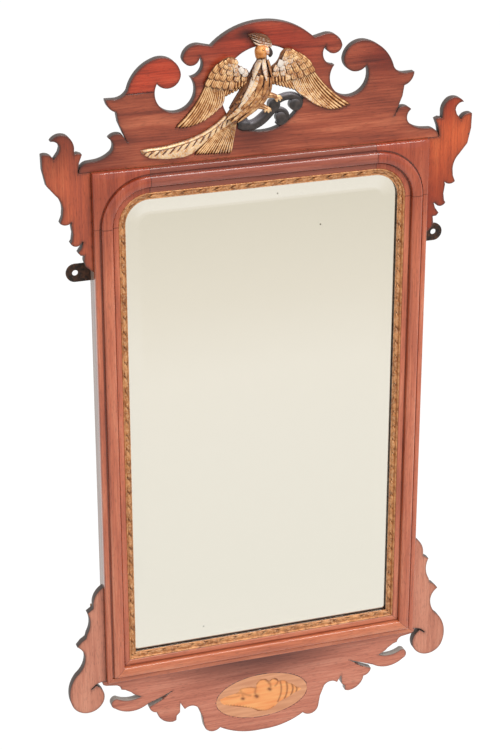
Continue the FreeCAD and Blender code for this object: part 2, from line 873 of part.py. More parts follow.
def fan(quills, tips, count, half_width, thickness, bow=0.0):
    """Feathers that spread from a line of quills to a curve of tips, each over the last."""
    made = []
    for index, share in enumerate(shares(count)):
        root = point_between(quills[0], quills[1], share)
        tip = bend(tips[0], tips[1], tips[2], share)
        made.append(feather(root, tip, half_width, bow * (1 - share), thickness + FEATHER_STEP * index))
    return made


def wing(primaries, tertials, lower, upper, pad, bow):
    """Primaries and tertials under two rows of coverts on a padded shoulder."""
    pieces = fan(*primaries, PRIMARY_COUNT, PRIMARY_HALF_WIDTH, FEATHER_THICKNESS, bow)
    pieces += fan(*tertials, TERTIAL_COUNT, TERTIAL_HALF_WIDTH, FEATHER_THICKNESS)
    pieces += fan(*lower, LOWER_COVERT_COUNT, COVERT_HALF_WIDTH, PAD_THICKNESS + COVERT_STEP)
    pieces += fan(*upper, UPPER_COVERT_COUNT, COVERT_HALF_WIDTH, PAD_THICKNESS + 2 * COVERT_STEP)
    shoulder = plate(pad, upright(FACE, 0, TOP), PAD_THICKNESS)
    return shoulder.multiFuse(pieces).removeSplitter()


def tail():
    pieces = fan(*TAIL_FAN, TAIL_FEATHER_COUNT, TAIL_FEATHER_HALF_WIDTH, TAIL_THICKNESS)
    long_feather = plate(LONG_FEATHER, upright(FACE, 0, TOP), LONG_FEATHER_THICKNESS)
    return long_feather.multiFuse(pieces).removeSplitter()


def ring(middle, along, wide, deep, sides):
    """Corners of a many-sided section square to a line in the plane of the frets."""
    aside = Vector(along.z, 0, -along.x)
    aside.normalize()
    corners = []
    for index in range(sides):
        turn = 2 * math.pi * (index + 0.5) / sides
        corners.append(middle + aside * wide * math.cos(turn) + FORWARD * deep * math.sin(turn))
    return corners


def flat(*corners):
    return Part.Face(Part.makePolygon(corners + corners[:1]))


def carved(rings):
    """Solid through a row of sections, its sides cut in flat facets."""
    facets = [flat(*rings[0]), flat(*rings[-1])]
    for low, high in zip(rings, rings[1:]):
        for index in range(len(low)):
            facets.append(flat(low[index - 1], low[index], high[index]))
            facets.append(flat(low[index - 1], high[index], high[index - 1]))
    return Part.Solid(Part.Shell(facets))


def trunk():
    """Head, neck, breast and belly as one carved form."""
    centres = [Vector(x, FACE - BODY_FORWARD, TOP + z) for x, z, wide, deep in BODY]
    rings = []
    for index, (x, z, wide, deep) in enumerate(BODY):
        before = centres[max(index - 1, 0)]
        after = centres[min(index + 1, len(BODY) - 1)]
        rings.append(ring(centres[index], after - before, wide, deep, BODY_SIDES))
    return carved(rings)


def limb(start, end, start_radius, end_radius):
    """Tapered limb from one point to another."""
    low = Vector(start[0], FACE - BODY_FORWARD, TOP + start[1])
    high = Vector(end[0], FACE - BODY_FORWARD, TOP + end[1])
    rings = [ring(low, high - low, start_radius, start_radius, LIMB_SIDES),
             ring(high, high - low, end_radius, end_radius, LIMB_SIDES)]
    return carved(rings)


def bird_body():
    beak = limb(BEAK[0], BEAK[1], BEAK_ROOT_RADIUS, BEAK_TIP_RADIUS)
    legs = [limb(hip, foot, HIP_RADIUS, FOOT_RADIUS) for hip, foot in LEGS]
    return trunk().multiFuse([beak] + legs)


# Branch
def branch():
    back = FACE - BRANCH_FORWARD + BRANCH_THICKNESS
    where = upright(back, 0, TOP)

    def disc(centre, radius, thickness):
        return plate(round_path(centre, radius, radius, DISC_SIDES), where, thickness)

    stem = plate(chords(STEM), where, BRANCH_THICKNESS)
    pieces = [
        plate(chords(SCROLL), where, BRANCH_THICKNESS),
        disc(KNOB, KNOB_RADIUS, BRANCH_THICKNESS + SCROLL_BOSS),
        disc(LOWER_SCROLL, LOWER_SCROLL_RADIUS, BRANCH_THICKNESS),
        disc(CURL, CURL_RADIUS, BRANCH_THICKNESS + SCROLL_BOSS),
    ]
    hole = Part.makeCylinder(OPENING_RADIUS, 2 * BRANCH_THICKNESS, Vector(0, back, OPENING_Z), FORWARD)
    return stem.multiFuse(pieces).removeSplitter().common(hole)


def build():
    os.makedirs("parts", exist_ok=True)

    right_nails = Part.makeCompound([plate_nail(x, z) for x, z in plate_nail_places()])
    right_plate = hanging_plate(right_nails)
    nail_holes = [nail_shank(x, z) for x, z in nail_places()]
    let_in = plate(plate_outline(), upright(0), PLATE_THICKNESS)
    waste = Part.makeCompound(nail_holes + both(let_in) + both(right_nails))
    for name, member in carcass_members(carcass_frame()).items():
        save(name, member.cut(waste) if "stile" in name else member)
    save("hanging_plates", *both(right_plate))
    save("plate_nails", *both(right_nails))

    for name, side in (("left", -1), ("right", 1)):
        save("moulding_" + name, stile_run(moulding_section(0), side))
        save("slip_" + name, stile_run(slip_section(), side))
        save("ear_upper_" + name, ear(UPPER_EAR, TOP, side))
        save("ear_lower_" + name, ear(LOWER_EAR, BOTTOM, side))
    save("corner_blocks", corner_block(-1), corner_block(1))
    save("slip_corners", corner_turn(slip_section(), -1), corner_turn(slip_section(), 1))
    save("moulding_top", top_run(moulding_section(0)))
    save("moulding_bottom", bottom_run(moulding_section(0)))
    save("slip_top", top_run(slip_section()))
    save("slip_bottom", bottom_run(slip_section()))

    save("mirror_plate", mirror_plate())
    save("glass_wedges", *glass_wedges())
    half_board = HALF_W - REBATE_INSET - BOARD_GAP
    for name, (low, high) in zip(("lower", "middle", "upper"), board_spans()):
        board = box(-half_board, -REBATE_DEPTH, low, half_board, BOARD_BACK, high)
        save("backboard_" + name, board.cut(Part.makeCompound(nail_holes)))
    save("backboard_nails", *[nail(x, z) for x, z in nail_places()])

    crest = crest_board()
    tip_box = scroll_tip_box(crest)
    save("crest", crest.cut(tip_box))
    save("crest_scroll_tip", crest.common(tip_box))
    conch = shell()
    ground = oval()
    save("apron", apron_board().cut(ground))
    save("inlay_ground", ground.cut(conch))
    save("inlay_shell", conch)
    save("crest_blocks", *row_of_blocks(CREST_BLOCK_SPACING, TOP))
    save("apron_blocks", *row_of_blocks(APRON_BLOCK_SPACING, BOTTOM - GLUE_BLOCK_WIDTH))
    save("ear_blocks", *ear_blocks())

    perch = branch()
    bird = bird_body().cut(perch).cut(crest)
    left = wing(LEFT_PRIMARIES, LEFT_TERTIALS, LEFT_LOWER_COVERTS, LEFT_UPPER_COVERTS,
                LEFT_PAD, PRIMARY_BOW)
    right = wing(RIGHT_PRIMARIES, RIGHT_TERTIALS, RIGHT_LOWER_COVERTS, RIGHT_UPPER_COVERTS,
                 RIGHT_PAD, -PRIMARY_BOW)
    plume = plate(PLUME, upright(FACE, 0, TOP), PLUME_THICKNESS)
    save("branch", perch)
    save("bird_body", bird)
    save("bird_plume", plume.cut(bird))
    save("bird_wing_left", left.cut(bird))
    save("bird_wing_right", right.cut(bird))
    save("bird_tail", tail().cut(bird).cut(perch))


build()
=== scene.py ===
import math

import bmesh
import bpy
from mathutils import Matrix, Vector
from mathutils.kdtree import KDTree


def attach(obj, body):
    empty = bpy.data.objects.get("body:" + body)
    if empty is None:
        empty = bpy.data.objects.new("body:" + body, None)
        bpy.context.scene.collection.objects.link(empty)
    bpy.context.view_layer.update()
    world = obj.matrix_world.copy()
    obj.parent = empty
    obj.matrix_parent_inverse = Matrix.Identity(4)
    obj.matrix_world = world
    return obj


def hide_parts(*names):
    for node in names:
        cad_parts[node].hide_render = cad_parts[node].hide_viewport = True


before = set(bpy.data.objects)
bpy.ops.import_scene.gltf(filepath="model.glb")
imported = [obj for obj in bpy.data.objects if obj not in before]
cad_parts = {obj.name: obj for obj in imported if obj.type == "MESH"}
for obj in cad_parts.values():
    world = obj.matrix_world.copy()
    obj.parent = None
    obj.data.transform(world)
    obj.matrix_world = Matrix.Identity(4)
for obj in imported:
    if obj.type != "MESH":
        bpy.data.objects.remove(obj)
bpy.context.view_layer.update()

MM = 0.001

# Sizes of the frame in millimetres, in the part's own frame of reference.
HALF_W = 225.0
TOP = 137.0
BOTTOM = -596.0
FACE = -20.0
BAND_FACE = -28.0
CORNER = 73.5
BLOCK_X = 151.5
BLOCK_Z = 63.5
JOINT_GAP = 0.25
JOINT_SOIL = 1.1
INLAY_Z = -662.2
FLOOR_Z = -1.05  # metres, below the lowest point of the apron

# Fret boards: rubbed edges, and the old polish along the outline, as a dark line that fades inwards.
BOARD_ARRIS = 0.8
IRON_ARRIS = 0.4
POLISH_GRID = 2.5
POLISH_LINE = 1.0
POLISH_FADE = 8.0
FRONT = -0.999  # a face whose normal's Y lies below this looks straight out of the wall

# Moulding from its outer edge inwards, as (inwards, proud of the outer band).
BAND = [(0, -8), (0, -1.8), (0.3, -0.9), (0.9, -0.3), (1.8, 0), (6.5, 0), (7, -0.5), (7, -2)]
ROLL = [(9.2, -2), (9.2, 2.5), (9.45, 3.6), (10.1, 4.5), (11.0, 4.95), (12.5, 5.3), (14.5, 5.6),
        (16.35, 5.7), (18.2, 5.6), (20.2, 5.3), (21.7, 4.95), (22.6, 4.5), (23.25, 3.6), (23.5, 2.5)]
INNER_BAND = [(23.5, -2.5), (25, -2.5), (25, -1.5), (25.5, -1), (31.5, -1), (32, -1.5), (32, -8)]
QUIRKS = [(7, -2), (9.2, -2), (23.5, -2.5), (25, -2.5)]

# Gilt slip: a bead, the hollow that the leaves lie in, and the lip at the glass.
SLIP = [(32, -8), (32, -2.2), (32.4, -1.4), (33.3, -1), (34.2, -1.4), (34.6, -2.4), (35.2, -4.2),
        (36.6, -4.9), (38.6, -4.9), (39.8, -4.6), (40.1, -3.9), (40.8, -3.7), (41.5, -4.2), (41.5, -5.2),
        (41.5, -5.5), (41.5, -8)]
LEAF_PITCH = 20.0
CORNER_PITCH = 0.6
LEAF_LINE = 37.3
LEAF_SEAT = -4.9

# Mirror plate: where its edge and its bevel end, from the frame's outer edge.
GLASS_EDGE = 36.5
BEVEL_END = 61.5
GLASS_BACK = -16.7
GLASS_RIM = -19.2
GLASS_FACE = -22.7
SILVER_DEPTH = 0.06

# Bird: sections from the crown to the rump as (across, above the frame, half width, half depth).
BODY = [(-4.8, 144.4, 1.4, 1.4), (-4.8, 143.4, 4.8, 4.4), (-5, 140.5, 7.0, 6.8), (-5.2, 136, 7.8, 7.8),
        (-5, 131, 7.2, 7.0), (-4.2, 126, 6.6, 6.4), (-4.2, 121, 9.0, 7.4), (-5, 115, 11.4, 8.6),
        (-5.6, 108, 13.4, 9.6), (-6.6, 100, 15.4, 10.6), (-9, 92, 17.2, 11.0), (-13, 85, 18.2, 11.0),
        (-20, 76, 17.2, 10.4), (-29, 67, 14.4, 8.8), (-38, 58.5, 11.2, 6.6), (-46, 51.5, 8.4, 4.6)]
NAPE = 129.5
BODY_AXIS = -25.0
FEATHER_STEP = 0.12
WING_PAD_HEIGHT = 5.6
# Fans of feathers: kind, quill line, curve of the tips, count, half width, lift above the crest, wear.
LEFT_WING = [
    ("left_primary", ((-72.5, 106), (-57.5, 96)), ((-115.5, 46.5), (-90, 40.5), (-60.5, 67)),
     12, 2.25, 0.3, 0.3),
    ("secondary", ((-50, 100), (-24, 103)), ((-57, 78), (-45, 84), (-28, 90)), 8, 2.1, 0.6, 0.1),
    ("covert", ((-68, 110), (-42, 102)), ((-76.5, 96.5), (-61.5, 91.5), (-44, 89)), 5, 4.3, 4.2, 0.2),
    ("secondary", ((-42, 104), (-24, 103)), ((-42, 91), (-34, 92), (-27, 94)), 5, 2.2, 4.0, 0.1),
    ("covert", ((-65, 118), (-27, 111)), ((-72.5, 106), (-55, 100), (-27, 98.5)), 6, 4.5, 5.2, 0.3),
    ("covert", ((-60, 123.5), (-28, 115.5)), ((-67.5, 114), (-50, 107), (-25, 105.5)), 5, 4.8, 6.2, 0.8),
    ("covert", ((-54, 127.5), (-34, 119)), ((-61, 121), (-47, 113.5), (-28, 110.5)), 5, 4.1, 7.0, 1.3),
    ("covert", ((-49, 128.5), (-41, 125)), ((-54, 125), (-47, 120), (-38, 117.5)), 3, 4.0, 7.6, 0.9),
    ("covert", ((-46.5, 131), (-40.5, 129)), ((-50.5, 127.5), (-45, 123), (-37.5, 122.5)),
     3, 3.6, 8.0, 0.3),
]
RIGHT_WING = [
    ("right_primary", ((59, 114), (37, 99)), ((116.5, 55), (86, 41), (56.5, 73.5)), 14, 2.25, 0.3, 0.5),
    ("secondary", ((32, 103), (11, 105)), ((50, 78.5), (31, 85.5), (13, 91)), 9, 2.2, 0.6, 0.1),
    ("covert", ((58, 114), (30, 106)), ((65.5, 102.5), (51, 94.5), (31, 95.5)), 5, 4.4, 4.2, 0.4),
    ("secondary", ((28, 107), (10, 108)), ((28, 95), (20, 94), (11, 95)), 5, 2.2, 4.0, 0.1),
    ("covert", ((54, 120), (15, 112)), ((61, 110.5), (42, 101.5), (14, 101.5)), 6, 4.7, 5.2, 0.6),
    ("covert", ((48, 125.5), (16, 117)), ((55.5, 118), (38, 108.5), (13, 108.5)), 6, 4.5, 6.2, 1.0),
    ("covert", ((42, 129.5), (21, 124)), ((49, 123.5), (35, 115), (18, 114)), 5, 4.3, 7.0, 1.4),
    ("covert", ((36, 132), (27, 131)), ((41.5, 128.5), (33, 122), (24, 121.5)), 3, 4.2, 7.6, 0.7),
    ("covert", ((33, 135), (28.5, 134.5)), ((38, 131), (32, 126), (25, 126)), 3, 3.8, 8.0, 0.3),
]
RUFFLE = {"covert": 0.22}
LEFT_PAD = [(-19, 104), (-21, 112.5), (-27, 116), (-31, 118.5), (-35, 122), (-36.5, 127), (-39.5, 130.6),
            (-47, 131), (-55, 127.6), (-63, 121), (-69, 114.5), (-74, 105.5), (-77, 99), (-68, 96),
            (-57, 93.5), (-47, 90.5), (-40, 90), (-33, 91), (-26, 94)]
RIGHT_PAD = [(7, 100), (8, 112), (12, 116.6), (16, 119.6), (20, 125.6), (22, 131), (27.5, 136), (35, 135.6),
             (43, 131.2), (50, 126.6), (57, 120.6), (63, 112), (66, 104), (60, 100), (50, 97.5), (38, 97),
             (28, 95), (18, 93), (10, 94)]
TAIL_FAN = ("tail_quill", ((-49, 51), (-36, 52)), ((-91, 9.5), (-68, 7.6), (-45, 7)), 14, 1.75, 0.3, 0.3)
# Long tail feather: its upper and lower edges from rump to tip, and the spacing of the cuts in its vane.
TAIL_UPPER = [(-40, 64.5), (-52, 57), (-60, 50.6), (-70, 43.8), (-80, 38.2), (-90, 34.2), (-100, 31),
              (-110, 28.8), (-120, 26.8), (-130, 25.2), (-142, 24.4), (-152, 24.2), (-161, 22.4)]
TAIL_LOWER = [(-34, 52), (-45, 46), (-54, 41), (-64, 35), (-74, 28.5), (-84, 20.5), (-94, 13), (-105, 9.3),
              (-116, 8.8), (-127, 8.8), (-139, 10), (-150, 12), (-159.5, 18)]
TAIL_CUT_PITCH = 9.6
QUILL_BAND = 3.8
# Long feathers of neck and breast as (points from root to tip, half width, wear, brightness).
HACKLES = [
    # The first is no feather but a dark band of painted shade along the body's left flank.
    ([(-13, 119), (-19, 107), (-27, 94), (-36, 82), (-47, 67)], 2.7, 0.1, 0.3),
    ([(-24, 80), (-32, 71), (-41, 62), (-52, 54)], 4.2, 0.35, 0.95),
    ([(-18, 74), (-27, 66), (-36, 58.5), (-46, 51)], 4.4, 0.15, 0.7),
    ([(-10, 70), (-19, 62.5), (-28, 55.5), (-37, 49.5)], 4.2, 0.1, 0.82),
    ([(-4, 84), (-11, 76), (-19, 69), (-28, 62)], 4.8, 0.1, 0.75),
    ([(4, 82), (-3, 75), (-11, 68.5), (-19, 62.5)], 4.4, 0.1, 0.8),
    ([(-19, 93), (-25, 84), (-31, 76), (-38, 68)], 3.4, 0.6, 1),
    ([(-13, 92), (-19, 83), (-26, 75), (-34, 67)], 4.2, 0.15, 0.75),
    ([(-5, 93), (-9.5, 85), (-16, 77), (-24, 70)], 4.6, 0.1, 0.68),
    ([(3, 93), (1, 85), (-4, 78), (-11, 72)], 4.4, 0.1, 0.72),
    ([(-17.5, 106), (-21.5, 96), (-27, 87), (-34, 77)], 2.8, 0.6, 1),
    ([(-12, 108), (-16, 99), (-20.5, 91), (-26, 84)], 3.6, 0.5, 1),
    ([(-8, 109), (-10, 100), (-13.5, 91), (-18, 83)], 4.2, 0.05, 0.66),
    ([(-1, 106), (-2, 97), (-4.5, 89), (-8, 82)], 4.4, 0.05, 0.64),
    ([(5, 105), (6, 97), (5, 89), (2, 82)], 3.6, 0.05, 0.6),
    ([(2, 126), (4.5, 117), (6.5, 108), (7.5, 99)], 2.8, 0.15, 0.68),
    ([(-8, 128), (-12.5, 119), (-16.5, 110), (-18.5, 102)], 3, 0.6, 1),
    ([(-4.5, 128.5), (-4.2, 119), (-3.2, 110), (-2.4, 102)], 3.8, 0.6, 0.9),
]
HACKLE_LAP = 0.18
HACKLE_CROWN = 2.2
# Plume over the head, each feather from its root behind the beak to its tip.
PLUME = [
    ([(8.6, 141.6), (0, 142.8), (-8, 144.6), (-16, 149.5)], 2.2, 0.6, 0.85),
    ([(8.8, 143.6), (1, 146), (-8, 148.6), (-18.5, 154)], 2.4, 0.5, 0.5),
    ([(8, 145.8), (1, 149), (-8, 151.6), (-21, 157.6)], 2.4, 0.3, 0.36),
    ([(7, 148), (0, 151.6), (-8, 154.6), (-18, 158.6)], 2.3, 0.4, 0.42),
    ([(5.5, 150.4), (-1, 154), (-8, 156.8), (-14, 158.8)], 2.2, 0.1, 0.32),
    ([(3, 153.4), (-3, 156.4), (-9, 158.2)], 2.0, 0.1, 0.34),
]
PLUME_BED = [(-21, 157.8), (-15, 158.8), (-5, 158.2), (0, 155.8), (4, 151.5), (7, 147), (9, 141.6),
             (0, 141.4), (-8, 142.8), (-13, 144.6), (-17, 150)]
PLUME_BED_HEIGHT = 5.0
PLUME_SEAT = 4.6
PLUME_LAP = 0.35
PLUME_CROWN = 2.8
LEGS = [
    [(0, 80.5, 5.4), (7, 79.4, 4.0), (12, 78, 3.1), (16, 76, 2.6)],
    [(-12, 70, 6.4), (-4, 66, 4.2), (1, 63.6, 3.1), (4, 62, 2.6)],
]
CLAWS = [
    [(15, 77, 2.1), (19, 76.6, 1.9), (22, 73.6, 0.9)],
    [(15, 75.6, 2.1), (18, 74.4, 1.9), (20, 71.4, 0.9)],
    [(14, 75, 2.1), (15, 73, 1.8), (16, 70.4, 0.9)],
    [(3, 63, 2.1), (6, 61.6, 1.9), (7.6, 58.6, 0.9)],
    [(3, 62, 2.1), (4, 59.4, 1.9), (4.6, 57, 0.9)],
    [(1, 62, 2.1), (0, 60, 1.8), (0, 58, 0.9)],
]
BEAK = [(-3, 138, 4.6), (0.6, 137.6, 5.2), (3.8, 136, 5.2), (6.2, 132.4, 3.8), (6.2, 128.4, 1.2)]
EYE = (-4.4, 139.8)
# Branch, as (across, above the frame, half width) along each limb.
STEM = [(-34, 43, 5.6), (-29, 42.4, 7.6), (-24, 41.4, 8.0), (-17.5, 40, 6.6), (-10, 41.6, 6.6),
        (-2.4, 46, 6.8), (4.6, 52, 6.8), (10.6, 58.4, 6.8), (13.6, 63, 6.8)]
SPUR = [(-25.4, 42, 5.4), (-24.4, 47.6, 4.8), (-22, 50.6, 2.6)]
LOWER_SCROLL = [(3, 51, 5.0), (10, 55, 4.4), (17, 57.2, 3.9), (24.4, 56.4, 3.8), (30, 52.4, 3.8),
                (31.4, 46.4, 3.8), (28.4, 41.2, 3.6), (22.6, 39.6, 3.4), (18, 42, 3.0)]
UPPER_SCROLL = [(13, 66, 5.6), (19, 69.4, 5.2), (25, 72, 5.0), (31, 73.4, 5.0), (39, 73.2, 5.0),
                (45.6, 70, 5.2), (48.4, 63.8, 5.0), (46, 58, 4.4), (40.6, 56.8, 3.6)]
SCROLL_EYES = [(22.8, 47.6, 6.8, 5.2), (41.4, 62.6, 7.4, 5.6), (13.8, 65, 7.6, 6.4)]
BRANCH_AXIS = -17.0

# Conch of the inlay about the middle of its oval, and the lines scorched into it.
CONCH = [(-62, 5), (-52, 8.2), (-36, 11.5), (-32, 16.5), (-24, 17.5), (-14, 16), (-9, 14), (-8, 20),
         (-4.5, 24.6), (1, 26), (6, 24.5), (11, 21), (16, 24.4), (21, 22.4), (25, 18.5), (31, 19.2),
         (36, 16.8), (39, 13), (45, 10.5), (51, 5), (55, 2.6), (59, -0.5), (54, -3.2), (48, -5.5), (42, -9),
         (35, -12), (26, -15.5), (18, -22.5), (8, -26.5), (-4, -24), (-15, -18.5), (-34, -11), (-53, -6),
         (-60, -1)]
SCORCH = [
    ([(27.5, 17), (29, 8), (28, -4), (24, -15)], 1.3, 0.75),
    ([(36.5, 15), (38, 6), (37, -4), (34, -12)], 1.4, 0.8),
    ([(44.5, 11), (46.5, 4), (45.6, -3), (43.5, -8)], 1.4, 0.85),
    ([(51, 5), (52.5, 1), (51.5, -4)], 1.3, 0.8),
    ([(-53, -5.7), (-34, -10.4), (-15, -17.8), (-4, -23.2), (8, -25.8), (18, -21.8)], 1.2, 0.6),
    ([(-38, 11), (-30, 9.5), (-24, 6), (-17, 3)], 1.8, 0.4),
    ([(-32, 15), (-28, 4), (-27, 0)], 1.8, 0.35),
    ([(-9, 14), (-10, 6), (-8, 0)], 2.0, 0.5),
    ([(11, 20.5), (13, 13), (12, 8)], 1.9, 0.5),
    ([(-29, 0.4), (-27.6, -0.4)], 2.4, 0.95),
    ([(-8.8, 1), (-7, -0.8)], 2.8, 0.95),
    ([(10.6, 8.8), (12.4, 7.2)], 2.5, 0.95),
    ([(6, 23.5), (9, 20.6), (11, 17)], 1.6, 0.6),
    ([(24, 18), (22, 14), (20, 12)], 1.6, 0.5),
    ([(-52, 7), (-42, 5.4), (-34, 5.8)], 1.3, 0.3),
    ([(-8, 19.5), (-4.5, 24), (1, 25.4), (6, 24), (11, 20.5)], 1.1, 0.6),
    ([(11, 20.5), (16, 23.8), (21, 21.8), (25, 18)], 1.1, 0.6),
    ([(25, 18), (31, 18.6), (36, 16.2), (39, 12.6)], 1.1, 0.5),
    ([(39, 12.6), (45, 10), (51, 4.6), (55, 2.2)], 1.1, 0.5),
    ([(-36, 11), (-32, 16), (-24, 17), (-14, 15.5), (-9, 13.5)], 1.1, 0.5),
]
SCORCH_GRID = 0.8


# Starts of the names of nodes that don't shade.
OTHER_KINDS = ("Geometry", "Function", "NodeGroup")


def colour(code):
    """sRGB hex code to linear red, green, blue and alpha."""
    parts = [int(code[i:i + 2], 16) / 255 for i in (1, 3, 5)]
    return [p / 12.92 if p <= 0.04045 else ((p + 0.055) / 1.055) ** 2.4 for p in parts] + [1.0]


def fill(tree, made, links):
    """Inputs of a node, as values or as links."""
    for socket, value in links.items():
        if isinstance(value, bpy.types.NodeSocket):
            tree.links.new(value, made.inputs[socket])
        else:
            made.inputs[socket].default_value = value


def add(tree, kind, links=None, stops=None, **settings):
    """One node with its settings, its colour stops and its inputs; plain kinds are shader nodes."""
    made = tree.nodes.new(kind if kind.startswith(OTHER_KINDS) else "ShaderNode" + kind)
    for name, value in settings.items():
        setattr(made, name, value)
    for index, (place, tint) in enumerate(stops or []):
        ramp = made.color_ramp.elements
        stop = ramp[index] if index < 2 else ramp.new(place)
        stop.position, stop.color = place, colour(tint)
    fill(tree, made, links or {})
    return made


def cleared(holder):
    """Empty node tree of a material or of the world."""
    holder.use_nodes = True
    holder.node_tree.nodes.clear()
    return holder.node_tree


def finish_of(name):
    """Empty material with its surface shader and its output, and the place on the piece."""
    made = bpy.data.materials.new(name)
    tree = cleared(made)
    surface = add(tree, "BsdfPrincipled")
    add(tree, "OutputMaterial", {"Surface": surface.outputs["BSDF"]})
    return made, tree, surface, add(tree, "TexCoord").outputs["Object"]


def patch_of(tree, place, centre, reach, strength):
    """Soft oval patch about a place in millimetres."""
    spread = [1 / (r * MM) for r in reach]
    away = [-c * MM * s for c, s in zip(centre, spread)]
    moved = add(tree, "Mapping", {"Vector": place, "Scale": spread, "Location": away})
    patch = add(tree, "TexGradient", {"Vector": moved.outputs["Vector"]}, gradient_type="SPHERICAL")
    return add(tree, "MapRange", {"Value": patch.outputs["Fac"], "To Max": strength},
               interpolation_type="SMOOTHSTEP").outputs["Result"]


# Mahogany, planed and French polished: long streaked grain under a clear gloss, sawn
# edges left dull and grey-brown, the back left from the saw.
def mahogany(name, dark, mid, pale, grain, tone_and_shade_patches=(), sawn_and_painted_light=("#352823", "#5A463C"), gloss=0.3, opening_darkening=None):
    made, tree, surface, place = finish_of(name)
    # Figure about 140 mm long and 14 mm wide, streaks 60 by 2.2 mm, pores drawn at 9 by 0.9 mm to show.
    layers = []
    for long, wide, detail in ((140, 14, 3), (60, 2.2, 2), (9, 0.9, 1)):
        along = [1 / (wide * MM)] * 3
        along[grain] = 1 / (long * MM)
        turned = add(tree, "Mapping", {"Vector": place, "Scale": along})
        noise = add(tree, "TexNoise", {"Vector": turned.outputs["Vector"], "Scale": 1.0, "Detail": detail,
                                       "Roughness": 0.55, "Distortion": 0.3})
        layers.append(noise.outputs["Fac"])
    tone = add(tree, "Mix", {0: 0.42, 2: layers[0], 3: layers[1]}).outputs[0]
    wood = add(tree, "ValToRGB", {"Fac": tone}, [(0.3, dark), (0.7, pale), (0.5, mid)]).outputs["Color"]
    # Soft multiplied patches: some give the wood's own tone, some are painted shade, where a patch stands
    # for a cast shadow or for light falling off.
    for tint, centre, reach, strength in tone_and_shade_patches:
        share = patch_of(tree, place, centre, reach, strength)
        wood = add(tree, "Mix", {0: share, 6: wood, 7: colour(tint)}, data_type="RGBA",
                   blend_type="MULTIPLY").outputs[2]
    pores = add(tree, "MapRange", {"Value": layers[2], "From Min": 0.33, "From Max": 0.43, "To Min": 0.74})
    wood = add(tree, "Mix", {0: 1.0, 6: wood, 7: pores.outputs["Result"]}, data_type="RGBA",
               blend_type="MULTIPLY").outputs[2]
    # Dark old polish along the boards' outlines and at the joints, and in the mouldings' quirks, where it
    # is also painted shade.
    grime = add(tree, "Attribute", attribute_name="grime").outputs["Fac"]
    wood = add(tree, "Mix", {0: grime, 6: wood, 7: colour("#40190F")}, data_type="RGBA").outputs[2]
    dull = add(tree, "MapRange", {"Value": layers[0], "To Min": gloss - 0.06,
                                  "To Max": gloss + 0.08}).outputs["Result"]
    if sawn_and_painted_light:
        facing = add(tree, "SeparateXYZ", {"Vector": add(tree, "NewGeometry").outputs["Normal"]})
        edge = add(tree, "MapRange", {"Value": facing.outputs["Y"], "From Min": -0.6,
                                      "From Max": -0.3}).outputs["Result"]
        arris = add(tree, "MapRange", {"Value": facing.outputs["Y"], "From Min": -0.985, "From Max": -0.9,
                                       "To Max": 0.75})
        wood = add(tree, "Mix", {0: arris.outputs["Result"], 6: wood, 7: colour("#3C1810")},
                   data_type="RGBA").outputs[2]
        # Sawn edges in the given pair of colours; the apron's lighter pair is painted light.
        saw = add(tree, "Mix", {0: layers[1], 6: colour(sawn_and_painted_light[0]), 7: colour(sawn_and_painted_light[1])},
                  data_type="RGBA").outputs[2]
        # Sawn edges darkened near black in a patch about the crest's opening.
        if opening_darkening:
            share = patch_of(tree, place, *opening_darkening)
            saw = add(tree, "Mix", {0: share, 6: saw, 7: colour("#1E1613")}, data_type="RGBA").outputs[2]
        raw = add(tree, "Mix", {0: layers[1], 6: colour("#553A2C"), 7: colour("#8A644C")},
                  data_type="RGBA").outputs[2]
        rear = add(tree, "Math", {0: facing.outputs["Y"], 1: 0.8}, operation="GREATER_THAN").outputs[0]
        saw = add(tree, "Mix", {0: rear, 6: saw, 7: raw}, data_type="RGBA").outputs[2]
        wood = add(tree, "Mix", {0: edge, 6: wood, 7: saw}, data_type="RGBA").outputs[2]
        dull = add(tree, "Mix", {0: edge, 2: dull, 3: 0.5}).outputs[0]
    else:
        fill(tree, surface, {"Specular IOR Level": 0.15, "Coat Weight": 1.0, "Coat Roughness": 0.06})
    bump = add(tree, "Bump", {"Strength": 0.12, "Distance": 0.4 * MM,
                              "Height": layers[2]}).outputs["Normal"]
    fill(tree, surface, {"Base Color": wood, "Roughness": dull, "Normal": bump})
    return made


